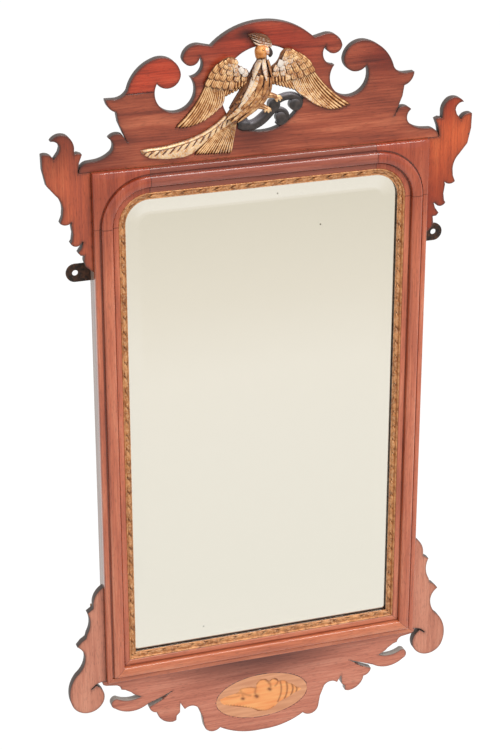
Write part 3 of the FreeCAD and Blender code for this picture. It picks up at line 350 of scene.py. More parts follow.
# Water gilding on gesso, rubbed through on high places: warm soft gold, umber in the cuts
# that also stands as painted shade, a painted highlight on the ridges, greyed white where the gesso shows.
def gilding(name, deep, gold, high, bare, cut, ridge_light_and_shade=0.0):
    made, tree, surface, place = finish_of(name)
    carve = add(tree, "Attribute", attribute_name="carve").outputs["Fac"]
    wear = add(tree, "Attribute", attribute_name="wear").outputs["Fac"]
    # Mottling of the leaf about 7 mm across, rubbed spots about 2 mm.
    mottle = add(tree, "TexNoise", {"Vector": place, "Scale": 1 / (7 * MM), "Detail": 3.0}).outputs["Fac"]
    rubbed = add(tree, "TexNoise", {"Vector": place, "Scale": 1 / (2.2 * MM), "Detail": 2.0}).outputs["Fac"]
    # Painted highlight on the ridges and painted shade in the hollows, by the carve value.
    ridge = add(tree, "MapRange", {"Value": carve, "To Min": -0.75 * ridge_light_and_shade,
                                   "To Max": 0.25 * ridge_light_and_shade}).outputs["Result"]
    tone = add(tree, "Math", {0: mottle, 1: ridge}, operation="ADD").outputs[0]
    leaf = add(tree, "ValToRGB", {"Fac": tone}, [(0.32, deep), (0.7, high), (0.5, gold)]).outputs["Color"]
    spots = add(tree, "MapRange", {"Value": rubbed, "From Min": 0.4, "From Max": 0.6, "To Min": -0.7,
                                   "To Max": 0.0})
    share = add(tree, "Math", {0: wear, 1: 1.4, 2: spots.outputs["Result"]}, operation="MULTIPLY_ADD",
                use_clamp=True)
    leaf = add(tree, "Mix", {0: share.outputs[0], 6: leaf, 7: colour(bare)}, data_type="RGBA").outputs[2]
    # The cuts go to the umber: patina in the hollows and painted shade.
    depth = add(tree, "MapRange", {"Value": carve, "From Min": 0.12, "From Max": 0.6},
                interpolation_type="SMOOTHSTEP").outputs["Result"]
    leaf = add(tree, "Mix", {0: depth, 6: colour(cut), 7: leaf}, data_type="RGBA").outputs[2]
    shine = add(tree, "Math", {0: depth, 1: 0.35}, operation="MULTIPLY").outputs[0]
    dull = add(tree, "MapRange", {"Value": rubbed, "To Min": 0.34, "To Max": 0.52}).outputs["Result"]
    bump = add(tree, "Bump", {"Strength": 0.25, "Distance": 0.5 * MM, "Height": rubbed}).outputs["Normal"]
    fill(tree, surface, {"Base Color": leaf, "Metallic": shine, "Roughness": dull, "Normal": bump})
    return made


# Pine, sawn and left bare, browned with age: wide straw and brown bands with darker latewood.
def bare_pine(name, dark, pale, grain, veneered=False):
    made, tree, surface, place = finish_of(name)
    along = [1 / (9 * MM)] * 3
    along[grain] = 1 / (160 * MM)
    turned = add(tree, "Mapping", {"Vector": place, "Scale": along})
    rings = add(tree, "TexNoise", {"Vector": turned.outputs["Vector"], "Scale": 1.0, "Detail": 4.0,
                                   "Roughness": 0.6, "Distortion": 0.6}).outputs["Fac"]
    dirt = add(tree, "TexNoise", {"Vector": place, "Scale": 1 / (70 * MM), "Detail": 4.0}).outputs["Fac"]
    wood = add(tree, "ValToRGB", {"Fac": rings}, [(0.34, dark), (0.62, pale)]).outputs["Color"]
    stain = add(tree, "MapRange", {"Value": dirt, "From Min": 0.3, "From Max": 0.7, "To Min": 0.7})
    wood = add(tree, "Mix", {0: 1.0, 6: wood, 7: stain.outputs["Result"]}, data_type="RGBA",
               blend_type="MULTIPLY").outputs[2]
    dull = 0.75
    if veneered:
        # Outer faces of the stiles carry polished veneer in a greyed pink.
        across = add(tree, "Math", {0: add(tree, "SeparateXYZ", {"Vector": place}).outputs["X"]},
                     operation="ABSOLUTE").outputs[0]
        outer = add(tree, "Math", {0: across, 1: HALF_W * MM, 2: 0.2 * MM}, operation="COMPARE").outputs[0]
        greyed_veneer = add(tree, "ValToRGB", {"Fac": rings},
                    [(0.3, "#A08478"), (0.66, "#BDA498")]).outputs["Color"]
        wood = add(tree, "Mix", {0: outer, 6: wood, 7: greyed_veneer}, data_type="RGBA").outputs[2]
        dull = add(tree, "MapRange", {"Value": outer, "To Min": dull, "To Max": 0.25}).outputs["Result"]
    bump = add(tree, "Bump", {"Strength": 0.3, "Distance": 0.6 * MM, "Height": rings}).outputs["Normal"]
    fill(tree, surface, {"Base Color": wood, "Roughness": dull, "Normal": bump})
    return made


# Satinwood veneer with sand-scorched lines: pale straw to orange, softly shaded brown.
def veneer(name, pale, deep, scorched):
    made, tree, surface, place = finish_of(name)
    turned = add(tree, "Mapping", {"Vector": place, "Scale": (1 / (50 * MM), 1 / (5 * MM), 1 / (5 * MM))})
    grain = add(tree, "TexNoise", {"Vector": turned.outputs["Vector"], "Scale": 1.0,
                                   "Detail": 3.0}).outputs["Fac"]
    wood = add(tree, "ValToRGB", {"Fac": grain}, [(0.35, deep), (0.65, pale)]).outputs["Color"]
    burn = add(tree, "Attribute", attribute_name="scorch").outputs["Fac"]
    wood = add(tree, "Mix", {0: burn, 6: wood, 7: colour(scorched)}, data_type="RGBA").outputs[2]
    dull = add(tree, "MapRange", {"Value": grain, "To Min": 0.28, "To Max": 0.42}).outputs["Result"]
    fill(tree, surface, {"Base Color": wood, "Roughness": dull})
    return made


# Ebonised carving: pear wood stained black-brown and waxed, greyed on top with dust and a painted
# highlight.
def ebonised(name):
    made, tree, surface, place = finish_of(name)
    worn = add(tree, "TexNoise", {"Vector": place, "Scale": 1 / (6 * MM), "Detail": 4.0}).outputs["Fac"]
    facing = add(tree, "SeparateXYZ", {"Vector": add(tree, "NewGeometry").outputs["Normal"]})
    dust_and_sheen = add(tree, "MapRange", {"Value": facing.outputs["Z"], "From Min": 0.1, "From Max": 0.9,
                                  "To Max": 0.6})
    stain = add(tree, "ValToRGB", {"Fac": worn}, [(0.35, "#1C1614"), (0.66, "#3C322E")]).outputs["Color"]
    stain = add(tree, "Mix", {0: dust_and_sheen.outputs["Result"], 6: stain, 7: colour("#98939A")},
                data_type="RGBA").outputs[2]
    dull = add(tree, "MapRange", {"Value": worn, "To Min": 0.3, "To Max": 0.5}).outputs["Result"]
    bump = add(tree, "Bump", {"Strength": 0.2, "Distance": 0.6 * MM, "Height": worn}).outputs["Normal"]
    fill(tree, surface, {"Base Color": stain, "Roughness": dull, "Normal": bump})
    return made


# Wrought iron, hammered and browned: near black with rusty patches, dull sheen.
def wrought_iron(name):
    made, tree, surface, place = finish_of(name)
    rust = add(tree, "TexNoise", {"Vector": place, "Scale": 1 / (5 * MM), "Detail": 5.0}).outputs["Fac"]
    dents = add(tree, "TexVoronoi", {"Vector": place, "Scale": 1 / (4 * MM)}).outputs["Distance"]
    skin = add(tree, "ValToRGB", {"Fac": rust}, [(0.4, "#2A211D"), (0.66, "#5A3C2C")]).outputs["Color"]
    dull = add(tree, "MapRange", {"Value": rust, "To Min": 0.42, "To Max": 0.7}).outputs["Result"]
    bump = add(tree, "Bump", {"Strength": 0.35, "Distance": 0.8 * MM, "Height": dents}).outputs["Normal"]
    fill(tree, surface, {"Base Color": skin, "Metallic": 0.55, "Roughness": dull, "Normal": bump})
    return made


# Plate glass, hand polished: clear with a faint straw tint.
def plate_glass(name):
    made, tree, surface = finish_of(name)[:3]
    fill(tree, surface, {"Base Color": colour("#FCFBF6"), "Transmission Weight": 1.0, "Roughness": 0.0,
                         "IOR": 1.5})
    return made


# Old silvering behind the glass: a faintly warm mirror with a few foxed specks, its back
# under dull red-brown paint.
def silvering(name):
    made, tree, surface, place = finish_of(name)
    specks = add(tree, "TexVoronoi", {"Vector": place, "Scale": 1 / (75 * MM)}).outputs["Distance"]
    fox = add(tree, "MapRange", {"Value": specks, "From Min": 0.012, "From Max": 0.02})
    metal = add(tree, "Mix", {0: fox.outputs["Result"], 6: colour("#8F8A7C"), 7: colour("#E8E3DB")},
                data_type="RGBA")
    facing = add(tree, "SeparateXYZ", {"Vector": add(tree, "NewGeometry").outputs["Normal"]})
    front = add(tree, "Math", {0: facing.outputs["Y"], 1: 0.0}, operation="LESS_THAN").outputs[0]
    skin = add(tree, "Mix", {0: front, 6: colour("#4A2A20"), 7: metal.outputs[2]},
               data_type="RGBA").outputs[2]
    dull = add(tree, "MapRange", {"Value": front, "To Min": 0.7, "To Max": 0.0}).outputs["Result"]
    fill(tree, surface, {"Base Color": skin, "Metallic": front, "Roughness": dull})
    return made


CREST_WOOD = mahogany("polished_mahogany_crest", "#6C2A1B", "#9C4930", "#C26C4C", 0,
                      [("#FF9472", (0, -20, 285), (190, 60, 75), 0.8),
                       ("#B99A98", (-230, -20, 165), (90, 60, 70), 1.0),
                       ("#C08880", (165, -20, 255), (70, 60, 60), 1.0),
                       # Painted shadow cast by the tail and branch on the crest below them.
                       ("#B8A29C", (-10, -20, 160), (60, 60, 30), 1.0),
                       # Painted shadow of the plume on the crest by its tip.
                       ("#6A4A44", (-22, -20, 296), (24, 60, 14), 1.0)],
                      opening_darkening=((18, -15, 190), (75, 60, 60), 1.0))
TIP_WOOD = mahogany("polished_mahogany_spliced_tip", "#80210F", "#B93E22", "#D25A3A", 0)
LEFT_EAR_WOOD = mahogany("polished_mahogany_upper_left_ear", "#964330", "#C05A38", "#D4764E", 2,
                         [("#A89088", (-275, -20, 190), (70, 60, 80), 1.0)])
RIGHT_EAR_WOOD = mahogany("polished_mahogany_upper_right_ear", "#9A3C20", "#CA582C", "#E07240", 2,
                          [("#C89080", (250, -20, 190), (50, 60, 60), 1.0),
                           ("#C09C90", (232, -20, 40), (90, 60, 120), 1.0)])
# The apron's sawn edges take a lighter pair than the other boards': painted light on edges that face up to
# the lamp.
PALE_WOOD = mahogany("paler_mahogany", "#AA5C46", "#CB7A60", "#E0957A", 0,
                     [("#9C8A88", (0, -20, -600), (190, 60, 60), 1.0)], ("#8C8078", "#B0A59C"))
LOW_EAR_WOOD = mahogany("paler_mahogany_lower_ears", "#B0664E", "#D0856A", "#E39C80", 2)
# Painted shade: the frame's wood darkened towards the top, where the light falls off.
TOP_PAINTED_SHADE = [("#CC9A84", (0, -28, 140), (900, 90, 180), 1.0)]
STILE_WOOD = mahogany("polished_mahogany_stiles", "#9A462C", "#C36644", "#DA8461", 2,
                      TOP_PAINTED_SHADE, None, 0.2)
# Greyer pink than the stiles' wood: a painted sheen of the pale surroundings mirrored in the polish.
RAIL_WOOD = mahogany("polished_mahogany_top_rail_painted_sheen", "#94503E", "#B87460", "#D0927E", 0,
                     TOP_PAINTED_SHADE, None, 0.2)
# Lighter than the stiles' wood as painted light: the bottom rail's band shown lit, not left in the roll's
# shadow.
LOW_RAIL_LIT_WOOD = mahogany("polished_mahogany_bottom_rail_painted_light", "#A04C2E", "#CC6E46", "#E08A62", 0, (), None, 0.2)
GILT_BIRD = gilding("water_gilt_carving", "#935A30", "#C48A54", "#EFC692", "#E0D4C8", "#402417", 0.7)
GILT_FACE = gilding("water_gilt_face", "#B86A2C", "#D98E46", "#EAB070", "#E6CABC", "#2C1A14")
GILT_SLIP = gilding("water_gilt_slip", "#985C32", "#BE7E4A", "#D89C66", "#E2BA92", "#4A2E1C")
PINE_UP = bare_pine("bare_pine_stiles", "#8A6238", "#BD935F", 2, veneered=True)
PINE_ACROSS = bare_pine("bare_pine_boards", "#8A6238", "#BD935F", 0)
SATINWOOD = veneer("satinwood_oval", "#E8A57A", "#D28E66", "#8A5530")
SHELL_WOOD = veneer("scorched_shell_veneer", "#FFB26E", "#F89A58", "#7E4420")
EBONY = ebonised("ebonised_carving")
IRON = wrought_iron("wrought_iron")
GLASS = plate_glass("bevelled_plate_glass")
SILVER = silvering("silvering")


def placed(name, data):
    """Object in the scene, at the origin."""
    made = bpy.data.objects.new(name, data)
    bpy.context.scene.collection.objects.link(made)
    return made


def dress(mesh, finish):
    """One finish all over a mesh."""
    mesh.materials.clear()
    mesh.materials.append(finish)


def set_piece(name, mesh, finish, nodes, angle):
    """A finished mesh as a piece of the mirror in place of its CAD nodes, sharp past the angle."""
    dress(mesh, finish)
    mesh.polygons.foreach_set("use_smooth", [True] * len(mesh.polygons))
    mesh.set_sharp_from_angle(angle=math.radians(angle))
    made = placed(name, mesh)
    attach(made, "root")
    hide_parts(*nodes)


def mark(mesh, **marks):
    """Named values at a mesh's points."""
    for name, values in marks.items():
        mesh.attributes.new(name, "FLOAT", "POINT").data.foreach_set("value", values)


def mesh_of(name, points, faces, **marks):
    """Mesh from points in millimetres, with named values at its points, faces turned outwards."""
    mesh = bpy.data.meshes.new(name)
    mesh.from_pydata([Vector(p) * MM for p in points], [], faces)
    mark(mesh, **marks)
    work = bmesh.new()
    work.from_mesh(mesh)
    bmesh.ops.remove_doubles(work, verts=work.verts, dist=0.01 * MM)
    bmesh.ops.recalc_face_normals(work, faces=work.faces)
    work.to_mesh(mesh)
    work.free()
    return mesh


def struck(work, name):
    """Plain mesh of worked stock."""
    mesh = bpy.data.meshes.new(name)
    work.to_mesh(mesh)
    work.free()
    return mesh


def joined(*meshes):
    work = bmesh.new()
    for mesh in meshes:
        work.from_mesh(mesh)
    return struck(work, meshes[0].name)


def skin_faces(rows, wide, start=0):
    """Faces of a closed skin over rows of points, with a cap at each end."""
    faces = []
    for r in range(rows - 1):
        for c in range(wide):
            a, b = start + r * wide + c, start + r * wide + (c + 1) % wide
            faces.append((a, b, b + wide, a + wide))
    last = start + (rows - 1) * wide
    return faces + [tuple(range(start, start + wide)), tuple(range(last, last + wide))]


class Stock:
    """Points, faces and marks of a carving that is built up stroke by stroke."""

    def __init__(self):
        self.points, self.faces, self.carve, self.wear = [], [], [], []

    def grid(self, rows, wear):
        """Rows of (x, y, z, carve) joined into a closed skin."""
        self.faces += skin_faces(len(rows), len(rows[0]), len(self.points))
        for x, y, z, carve in sum(rows, []):
            self.points.append((x, y, z))
            self.carve.append(carve)
            self.wear.append(wear)

    def mesh(self, name):
        return mesh_of(name, self.points, self.faces, carve=self.carve, wear=self.wear)


def curve_through(stations, count):
    """Smooth run of values through the stations."""
    last = len(stations) - 1
    run = []
    for step in range(count):
        t = step / (count - 1) * last
        i = min(int(t), last - 1)
        t -= i
        p = [stations[min(max(k, 0), last)] for k in (i - 1, i, i + 1, i + 2)]
        run.append(tuple(0.5 * (2 * b + (c - a) * t + (2 * a - 5 * b + 4 * c - d) * t * t
                                + (3 * b - a - 3 * c + d) * t ** 3) for a, b, c, d in zip(*p)))
    return run


# Fret boards: the sawn boards with their edges rubbed soft, old polish gathered along the outline.
def rubbed_copy(node, arris, segments=2, soil_and_shade=None):
    work = bmesh.new()
    work.from_mesh(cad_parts[node].data)
    bmesh.ops.remove_doubles(work, verts=work.verts, dist=0.005 * MM)
    bmesh.ops.dissolve_limit(work, angle_limit=math.radians(1), verts=work.verts, edges=work.edges)
    rim = [e for e in work.edges if len(e.link_faces) == 2 and e.calc_face_angle(0) > math.radians(50)
           and max(abs(f.normal.y) for f in e.link_faces) > 0.9]
    # The pocket of the inlay and the two sides of a narrow saw cut stay sharp.
    pocket = {v for e in rim for f in e.link_faces if abs(f.normal.y) < 0.5
              and max(w.co.y for w in f.verts) - min(w.co.y for w in f.verts) < 3 * MM for v in e.verts}
    meeting = {}
    for e in rim:
        for v in e.verts:
            meeting.setdefault(v, []).append((e.other_vert(v).co - v.co).normalized())
    narrow = {v for v, ways in meeting.items() if len(ways) == 2 and ways[0].dot(ways[1]) > 0.87} | pocket
    bmesh.ops.bevel(work, geom=[e for e in rim if not narrow & set(e.verts)], offset=arris * MM,
                    segments=segments, profile=0.5, affect="EDGES", clamp_overlap=False)
    if soil_and_shade:
        gather_polish(work, pocket, *soil_and_shade)
    bmesh.ops.triangulate(work, faces=[f for f in work.faces if len(f.verts) > 4])
    return struck(work, node + "_rubbed")


def gather_polish(work, pocket, line, spread):
    """Cuts the face in a fine grid and marks how near each point is to the outline."""
    face = [f for f in work.faces if f.normal.y < FRONT]
    outline = [e for f in face for e in f.edges
               if any(g.normal.y >= FRONT for g in e.link_faces) and not pocket & set(e.verts)]
    samples = [a.co.lerp(b.co, k / 8) for a, b in (e.verts for e in outline) for k in range(8)]
    near = KDTree(len(samples))
    for index, sample in enumerate(samples):
        near.insert(sample, index)
    near.balance()
    geom = face + list({e for f in face for e in f.edges}) + list({v for f in face for v in f.verts})
    for axis, ends in ((0, [v.co.copy() for f in face for v in f.verts]), (2, samples)):
        low, high = min(p[axis] for p in ends), max(p[axis] for p in ends)
        for step in range(1, int((high - low) / (POLISH_GRID * MM)) + 1):
            cut, normal = samples[0].copy(), Vector()
            cut[axis], normal[axis] = low + step * POLISH_GRID * MM, 1
            geom = bmesh.ops.bisect_plane(work, geom=geom, plane_co=cut, plane_no=normal)["geom"]
    grime = work.verts.layers.float.new("grime")
    for v in {v for f in work.faces if f.normal.y < FRONT for v in f.verts}:
        away = near.find(v.co)[2] / MM
        v[grime] = line * math.exp(-(away / POLISH_LINE) ** 2) + spread * math.exp(-away / POLISH_FADE)


BOARDS = {
    "crest": (CREST_WOOD, "mahogany_crest", (0.55, 0.25)),
    "crest_scroll_tip": (TIP_WOOD, "mahogany_patch", (0.5, 0.3)),
    "ear_upper_left": (LEFT_EAR_WOOD, "mahogany_ear", (0.5, 0.3)),
    "ear_upper_right": (RIGHT_EAR_WOOD, "mahogany_ear", (0.5, 0.35)),
    "ear_lower_left": (LOW_EAR_WOOD, "mahogany_pale", (0.4, 0.1)),
    "ear_lower_right": (LOW_EAR_WOOD, "mahogany_pale", (0.4, 0.1)),
    "apron": (PALE_WOOD, "mahogany_pale", (0.35, 0.0)),
}
for node, (finish, slot, soil_and_shade) in BOARDS.items():
    set_piece("board_" + node, rubbed_copy(node, BOARD_ARRIS, 3, soil_and_shade), finish, [node], 35)
set_piece("iron_hanging_plates", rubbed_copy("hanging_plates", IRON_ARRIS), IRON,
          ["hanging_plates"], 35)


# Mouldings: each a section run along its side of the frame.
def run_of(name, section, stations, band=0.0):
    points = [station(u, p) for station in stations for u, p in section]
    # Darkening at each point: quirks take old polish and painted shade of the recess, the band its given
    # share, and the ends are soiled at the joints.
    soil_and_shade = [[0.3 if spot in QUIRKS else band if spot in BAND else 0.0 for spot in section]
            for station in stations]
    soil_and_shade[0] = soil_and_shade[-1] = [0.5] * len(section)
    return mesh_of(name, points, skin_faces(len(stations), len(section)), grime=sum(soil_and_shade, []))


def stile(side):
    """Stile from the mitre at the bottom to the joint under the corner block, soiled close to both."""
    ends = ((BOTTOM, 1), (BOTTOM + JOINT_SOIL, 1), (BLOCK_Z - JOINT_GAP - JOINT_SOIL, 0),
            (BLOCK_Z - JOINT_GAP, 0))
    return [lambda u, p, z=z, mitre=mitre: (side * (HALF_W - u), BAND_FACE - p, z + mitre * u)
            for z, mitre in ends]


def bottom_rail():
    """Bottom rail from mitre to mitre."""
    ends = ((-HALF_W, 1), (JOINT_SOIL - HALF_W, 1), (HALF_W - JOINT_SOIL, -1), (HALF_W, -1))
    return [lambda u, p, x=x, mitre=mitre: (x + mitre * u, BAND_FACE - p, BOTTOM + u) for x, mitre in ends]


def top_rail():
    """Top rail between the corner blocks."""
    ends = (JOINT_GAP - BLOCK_X, JOINT_GAP + JOINT_SOIL - BLOCK_X, BLOCK_X - JOINT_GAP - JOINT_SOIL,
            BLOCK_X - JOINT_GAP)
    return [lambda u, p, x=x: (x, BAND_FACE - p, TOP - u) for x in ends]


def round_corner(side, steps=18):
    """Stations of a section that turns a top corner."""
    degrees = [0, 1.3] + [90 * step / steps for step in range(1, steps)] + [88.7, 90]
    turns = [math.radians(turn) for turn in degrees]
    return [lambda u, p, t=t: (side * (BLOCK_X + (CORNER - u) * math.cos(t)), BAND_FACE - p,
                               BLOCK_Z + (CORNER - u) * math.sin(t)) for t in turns]


def spandrel(side, steps=18):
    """Flat outside the turned roll, square at the frame's corner, its outer arris softened."""
    inner = [(CORNER - 7) * math.cos(math.radians(90 * s / steps)) for s in range(steps + 1)]
    rise = [(CORNER - 7) * math.sin(math.radians(90 * s / steps)) for s in range(steps + 1)]
    rows = []
    for depth, inset in ((-8, 0), (-1.8, 0), (-0.9, 0.3), (-0.3, 0.9), (0, 1.8)):
        edge = CORNER - inset
        rows.append([(edge, edge * min(1, math.tan(math.radians(90 * s / steps))), depth) if s <= steps / 2
                     else (edge * math.tan(math.radians(90 - 90 * s / steps)), edge, depth)
                     for s in range(steps + 1)])
    rows += [[(a, b, 0) for a, b in zip(inner, rise)], [(a, b, -2) for a, b in zip(inner, rise)],
             [(a, b, -8) for a, b in zip(inner, rise)]]
    points = [(side * (BLOCK_X + a), BAND_FACE - p, BLOCK_Z + b) for row in rows for a, b, p in row]
    wide = steps + 1
    faces = [(r * wide + c, r * wide + c + 1, ((r + 1) % len(rows)) * wide + c + 1,
              ((r + 1) % len(rows)) * wide + c)
             for r in range(len(rows)) for c in range(steps)]
    faces += [tuple(r * wide for r in range(len(rows))), tuple(r * wide + steps for r in range(len(rows)))]
    return points, faces


SECTION = BAND + ROLL + INNER_BAND
TURNED = [(7, -8), (7, -2)] + ROLL + INNER_BAND
RUNS = (
    ("left", "stile_left", stile(-1), 0.0, STILE_WOOD),
    ("right", "stile_right", stile(1), 0.0, STILE_WOOD),
    ("bottom", "rail_bottom", bottom_rail(), 0.0, LOW_RAIL_LIT_WOOD),
    ("top", "rail_top", top_rail(), 0.25, RAIL_WOOD),
)
for word, name, stations, band, finish in RUNS:
    set_piece("moulding_run_" + word, run_of(name, SECTION, stations, band), finish,
              ["moulding_" + word], 30)
for side, word in ((-1, "left"), (1, "right")):
    block = joined(run_of("corner_" + word, TURNED, round_corner(side)),
                   mesh_of("spandrel_" + word, *spandrel(side)))
    set_piece("corner_block_" + word, block, STILE_WOOD, ["corner_blocks"], 30)


# Mirror plate
def glass_ring(inset, y, steps=12):
    """Outline of the plate at an inset from the frame's edge, rounded at the top corners."""
    half, radius = HALF_W - inset, CORNER - inset
    ring = [(-half, y, BOTTOM + inset), (half, y, BOTTOM + inset)]
    for side, order in ((1, range(steps + 1)), (-1, range(steps, -1, -1))):
        for s in order:
            t = math.radians(90 * s / steps)
            ring.append((side * (BLOCK_X + radius * math.cos(t)), y, BLOCK_Z + radius * math.sin(t)))
    return ring


def plate_mesh(name, rings):
    """Closed plate through its outlines from back to front."""
    return mesh_of(name, sum(rings, []), skin_faces(len(rings), len(rings[0])))


bevelled = [glass_ring(GLASS_EDGE, GLASS_BACK), glass_ring(GLASS_EDGE, GLASS_RIM),
            glass_ring(BEVEL_END, GLASS_FACE)]
silvered = [glass_ring(GLASS_EDGE, GLASS_BACK + SILVER_DEPTH),
            glass_ring(GLASS_EDGE, GLASS_BACK - SILVER_DEPTH)]
set_piece("bevelled_glass", plate_mesh("bevelled_glass", bevelled), GLASS, ["mirror_plate"], 2)
set_piece("silvering", plate_mesh("silvering", silvered), SILVER, ["mirror_plate"], 2)


# Carved leaf of the slip, one repeat of the ornament.
def slip_leaf():
    stock = Stock()
    rows = []
    for i in range(19):
        t = i / 18
        swell = min(1, t / 0.2) ** 0.6 if t < 0.74 else math.sqrt(max(0.0, 1 - ((t - 0.74) / 0.26) ** 2))
        row = []
        for j in range(11):
            s = j / 5 - 1
            ridge = max(0.0, 1 - abs(s) ** 2.4) ** 0.5
            vein = max(0.0, math.cos(math.pi * (3.2 * t - 0.9 * s))) ** 10
            high = 2.7 * (0.3 + 0.7 * t) * ridge * max(swell, 0.12) - 0.6 * vein * ridge
            # Darker at the root, where the last leaf's tip overlaps, in the veins and towards the edges:
            # painted shade.
            row.append((-0.4 + 21.2 * t + 2.6 * s * (1 - 0.5 * t), -high, 3.0 * max(swell, 0.05) * s,
                        min(1.0, 0.05 + ridge * (1 - 0.6 * vein) * min(1, t / 0.18))))
        rows.append(row)
    stock.grid(rows, 0.3)
    return stock.mesh("slip_leaf")


def stage_tree(name, inputs, result):
    """Empty Geometry Nodes tree with its named inputs by kind, and its one result."""
    tree = bpy.data.node_groups.new(name, "GeometryNodeTree")
    for kind, sockets in inputs:
        for socket in sockets:
            tree.interface.new_socket(socket, in_out="INPUT", socket_type="NodeSocket" + kind)
    tree.interface.new_socket(result, in_out="OUTPUT", socket_type="NodeSocketGeometry")
    return tree, add(tree, "NodeGroupInput").outputs


def leaf_tree():
    """Lays the leaf along a line of the slip at its pitch."""
    inputs = (("Geometry", ["Line"]), ("Object", ["Leaf"]), ("Float", ["Pitch"]), ("Material", ["Gilding"]))
    tree, given = stage_tree("leaf_run", inputs, "Carving")
    line = add(tree, "GeometryNodeMeshToCurve", {"Mesh": given["Line"]}).outputs["Curve"]
    marks = add(tree, "GeometryNodeCurveToPoints", {"Curve": line, "Length": given["Pitch"]}, mode="LENGTH")
    ahead = add(tree, "SeparateXYZ", {"Vector": marks.outputs["Tangent"]})
    back = add(tree, "Math", {0: ahead.outputs["Z"], 1: -1.0}, operation="MULTIPLY")
    angle = add(tree, "Math", {0: back.outputs[0], 1: ahead.outputs["X"]}, operation="ARCTAN2")
    turn = add(tree, "CombineXYZ", {"Y": angle.outputs[0]})
    leaf = add(tree, "GeometryNodeObjectInfo", {"Object": given["Leaf"]}).outputs["Geometry"]
    laid = add(tree, "GeometryNodeInstanceOnPoints", {"Points": marks.outputs["Points"], "Instance": leaf,
                                                      "Rotation": turn.outputs[0]})
    real = add(tree, "GeometryNodeRealizeInstances", {"Geometry": laid.outputs[0]})
    done = add(tree, "GeometryNodeSetMaterial", {"Geometry": real.outputs[0], "Material": given["Gilding"]})
    add(tree, "NodeGroupOutput", {"Carving": done.outputs[0]})
    return tree


def tooled(name, mesh, stages):
    """Mesh after its Geometry Nodes stages, as a plain mesh."""
    holder = placed(name, mesh)
    for tree, inputs in stages:
        stage = holder.modifiers.new(tree.name, "NODES")
        stage.node_group = tree
        for item in tree.interface.items_tree:
            if item.in_out == "INPUT" and item.name in inputs:
                stage[item.identifier] = inputs[item.name]
    graph = bpy.context.evaluated_depsgraph_get()
    made = bpy.data.meshes.new_from_object(holder.evaluated_get(graph), preserve_all_data_layers=True,
                                           depsgraph=graph)
    holder.modifiers.clear()
    bpy.data.objects.remove(holder)
    return made


def slip_marks(mesh, count):
    """Gilding of the slip's members: bright bead and lip, the lip with more gesso showing as wear and as a
    painted highlight; the hollow darkened as painted shade; dark bare wood behind.
    """
    levels = [0.0 if p < -5.3 else 0.4 if 35 < u < 40 else 0.95 for u, p in SLIP]
    mark(mesh, carve=levels * count, wear=[0.3 if u > 40 else 0.2 for u, p in SLIP] * count)
    return mesh


def leaf_line(name, stations, pitch):
    """Line of the slip's leaves from the first station to the last, and the pitch that fills it."""
    ends = [Vector(station(LEAF_LINE, LEAF_SEAT)) * MM for station in stations]
    mesh = bpy.data.meshes.new(name)
    mesh.from_pydata(ends, [(i, i + 1) for i in range(len(ends) - 1)], [])
    length = sum((b - a).length for a, b in zip(ends, ends[1:]))
    return mesh, 1.0005 * length / round(length / (pitch * MM))


LEAF = placed("slip_leaf", slip_leaf())
LEAF_RUN = leaf_tree()
SLIPS = (
    ("left", stile(-1)[::-1], "slip_left"), ("right", stile(1), "slip_right"),
    ("top", top_rail()[::-1], "slip_top"), ("bottom", bottom_rail(), "slip_bottom"),
    ("corner_left", round_corner(-1)[::-1], "slip_corners"),
    ("corner_right", round_corner(1), "slip_corners"),
)
for word, stations, node in SLIPS:
    seat = slip_marks(run_of("slip_seat_" + word, SLIP, stations), len(stations))
    pitch = LEAF_PITCH * (CORNER_PITCH if "corner" in word else 1)
    line, pitch = leaf_line("leaf_line_" + word, stations, pitch)
    leaves = tooled("slip_leaves_" + word, line,
                    [(LEAF_RUN, {"Leaf": LEAF, "Pitch": pitch, "Gilding": GILT_SLIP})])
    set_piece("carved_slip_" + word, joined(seat, leaves), GILT_SLIP, [node], 50)
bpy.data.objects.remove(LEAF)


# Feather of the wings, one unit long and one unit to each side, with a skirt down to its bed.
def unit_feather(name, bow, root, blunt, slab, crown, lines, dark_rim, dark_tip):
    stock = Stock()
    across = [-1, -0.97, -0.88, -0.75, -0.6, -0.45, -0.2, 0, 0.2, 0.45, 0.6, 0.75, 0.88, 0.97, 1]
    rows = []
    for i in range(15):
        t = i / 14
        round_end = math.sqrt(max(0.0, 1 - ((t - blunt) / (1 - blunt)) ** 2)) if t > blunt else 1.0
        wide = (root + (1 - root) * min(1, t / 0.85)) * max(round_end, 0.04)
        row = []
        for s in across:
            cut = max(math.exp(-((s - line) / 0.13) ** 2) for line in lines)
            high = (slab + crown * (1 - s * s) * (1 - 0.35 * cut)) * (0.55 + 0.45 * t)
            high *= max(round_end, 0.35)
            # The carve value darkens the rim, the tip and the cut lines as painted shade, where feathers
            # overlap and in the grooves.
            rim = min(1, max(0.0, 0.95 - abs(s)) / dark_rim) ** 0.6 * min(1, (1 - t) / dark_tip)
            row.append((t / MM, -high if abs(s) < 1 else 0, wide * s + 4 * bow * t * (1 - t),
                        0.02 + 0.98 * rim * (1 - 0.8 * cut)))
        rows.append(row)
    stock.grid(rows, 0.0)
    return mesh_of(name, stock.points, stock.faces, carve=stock.carve)


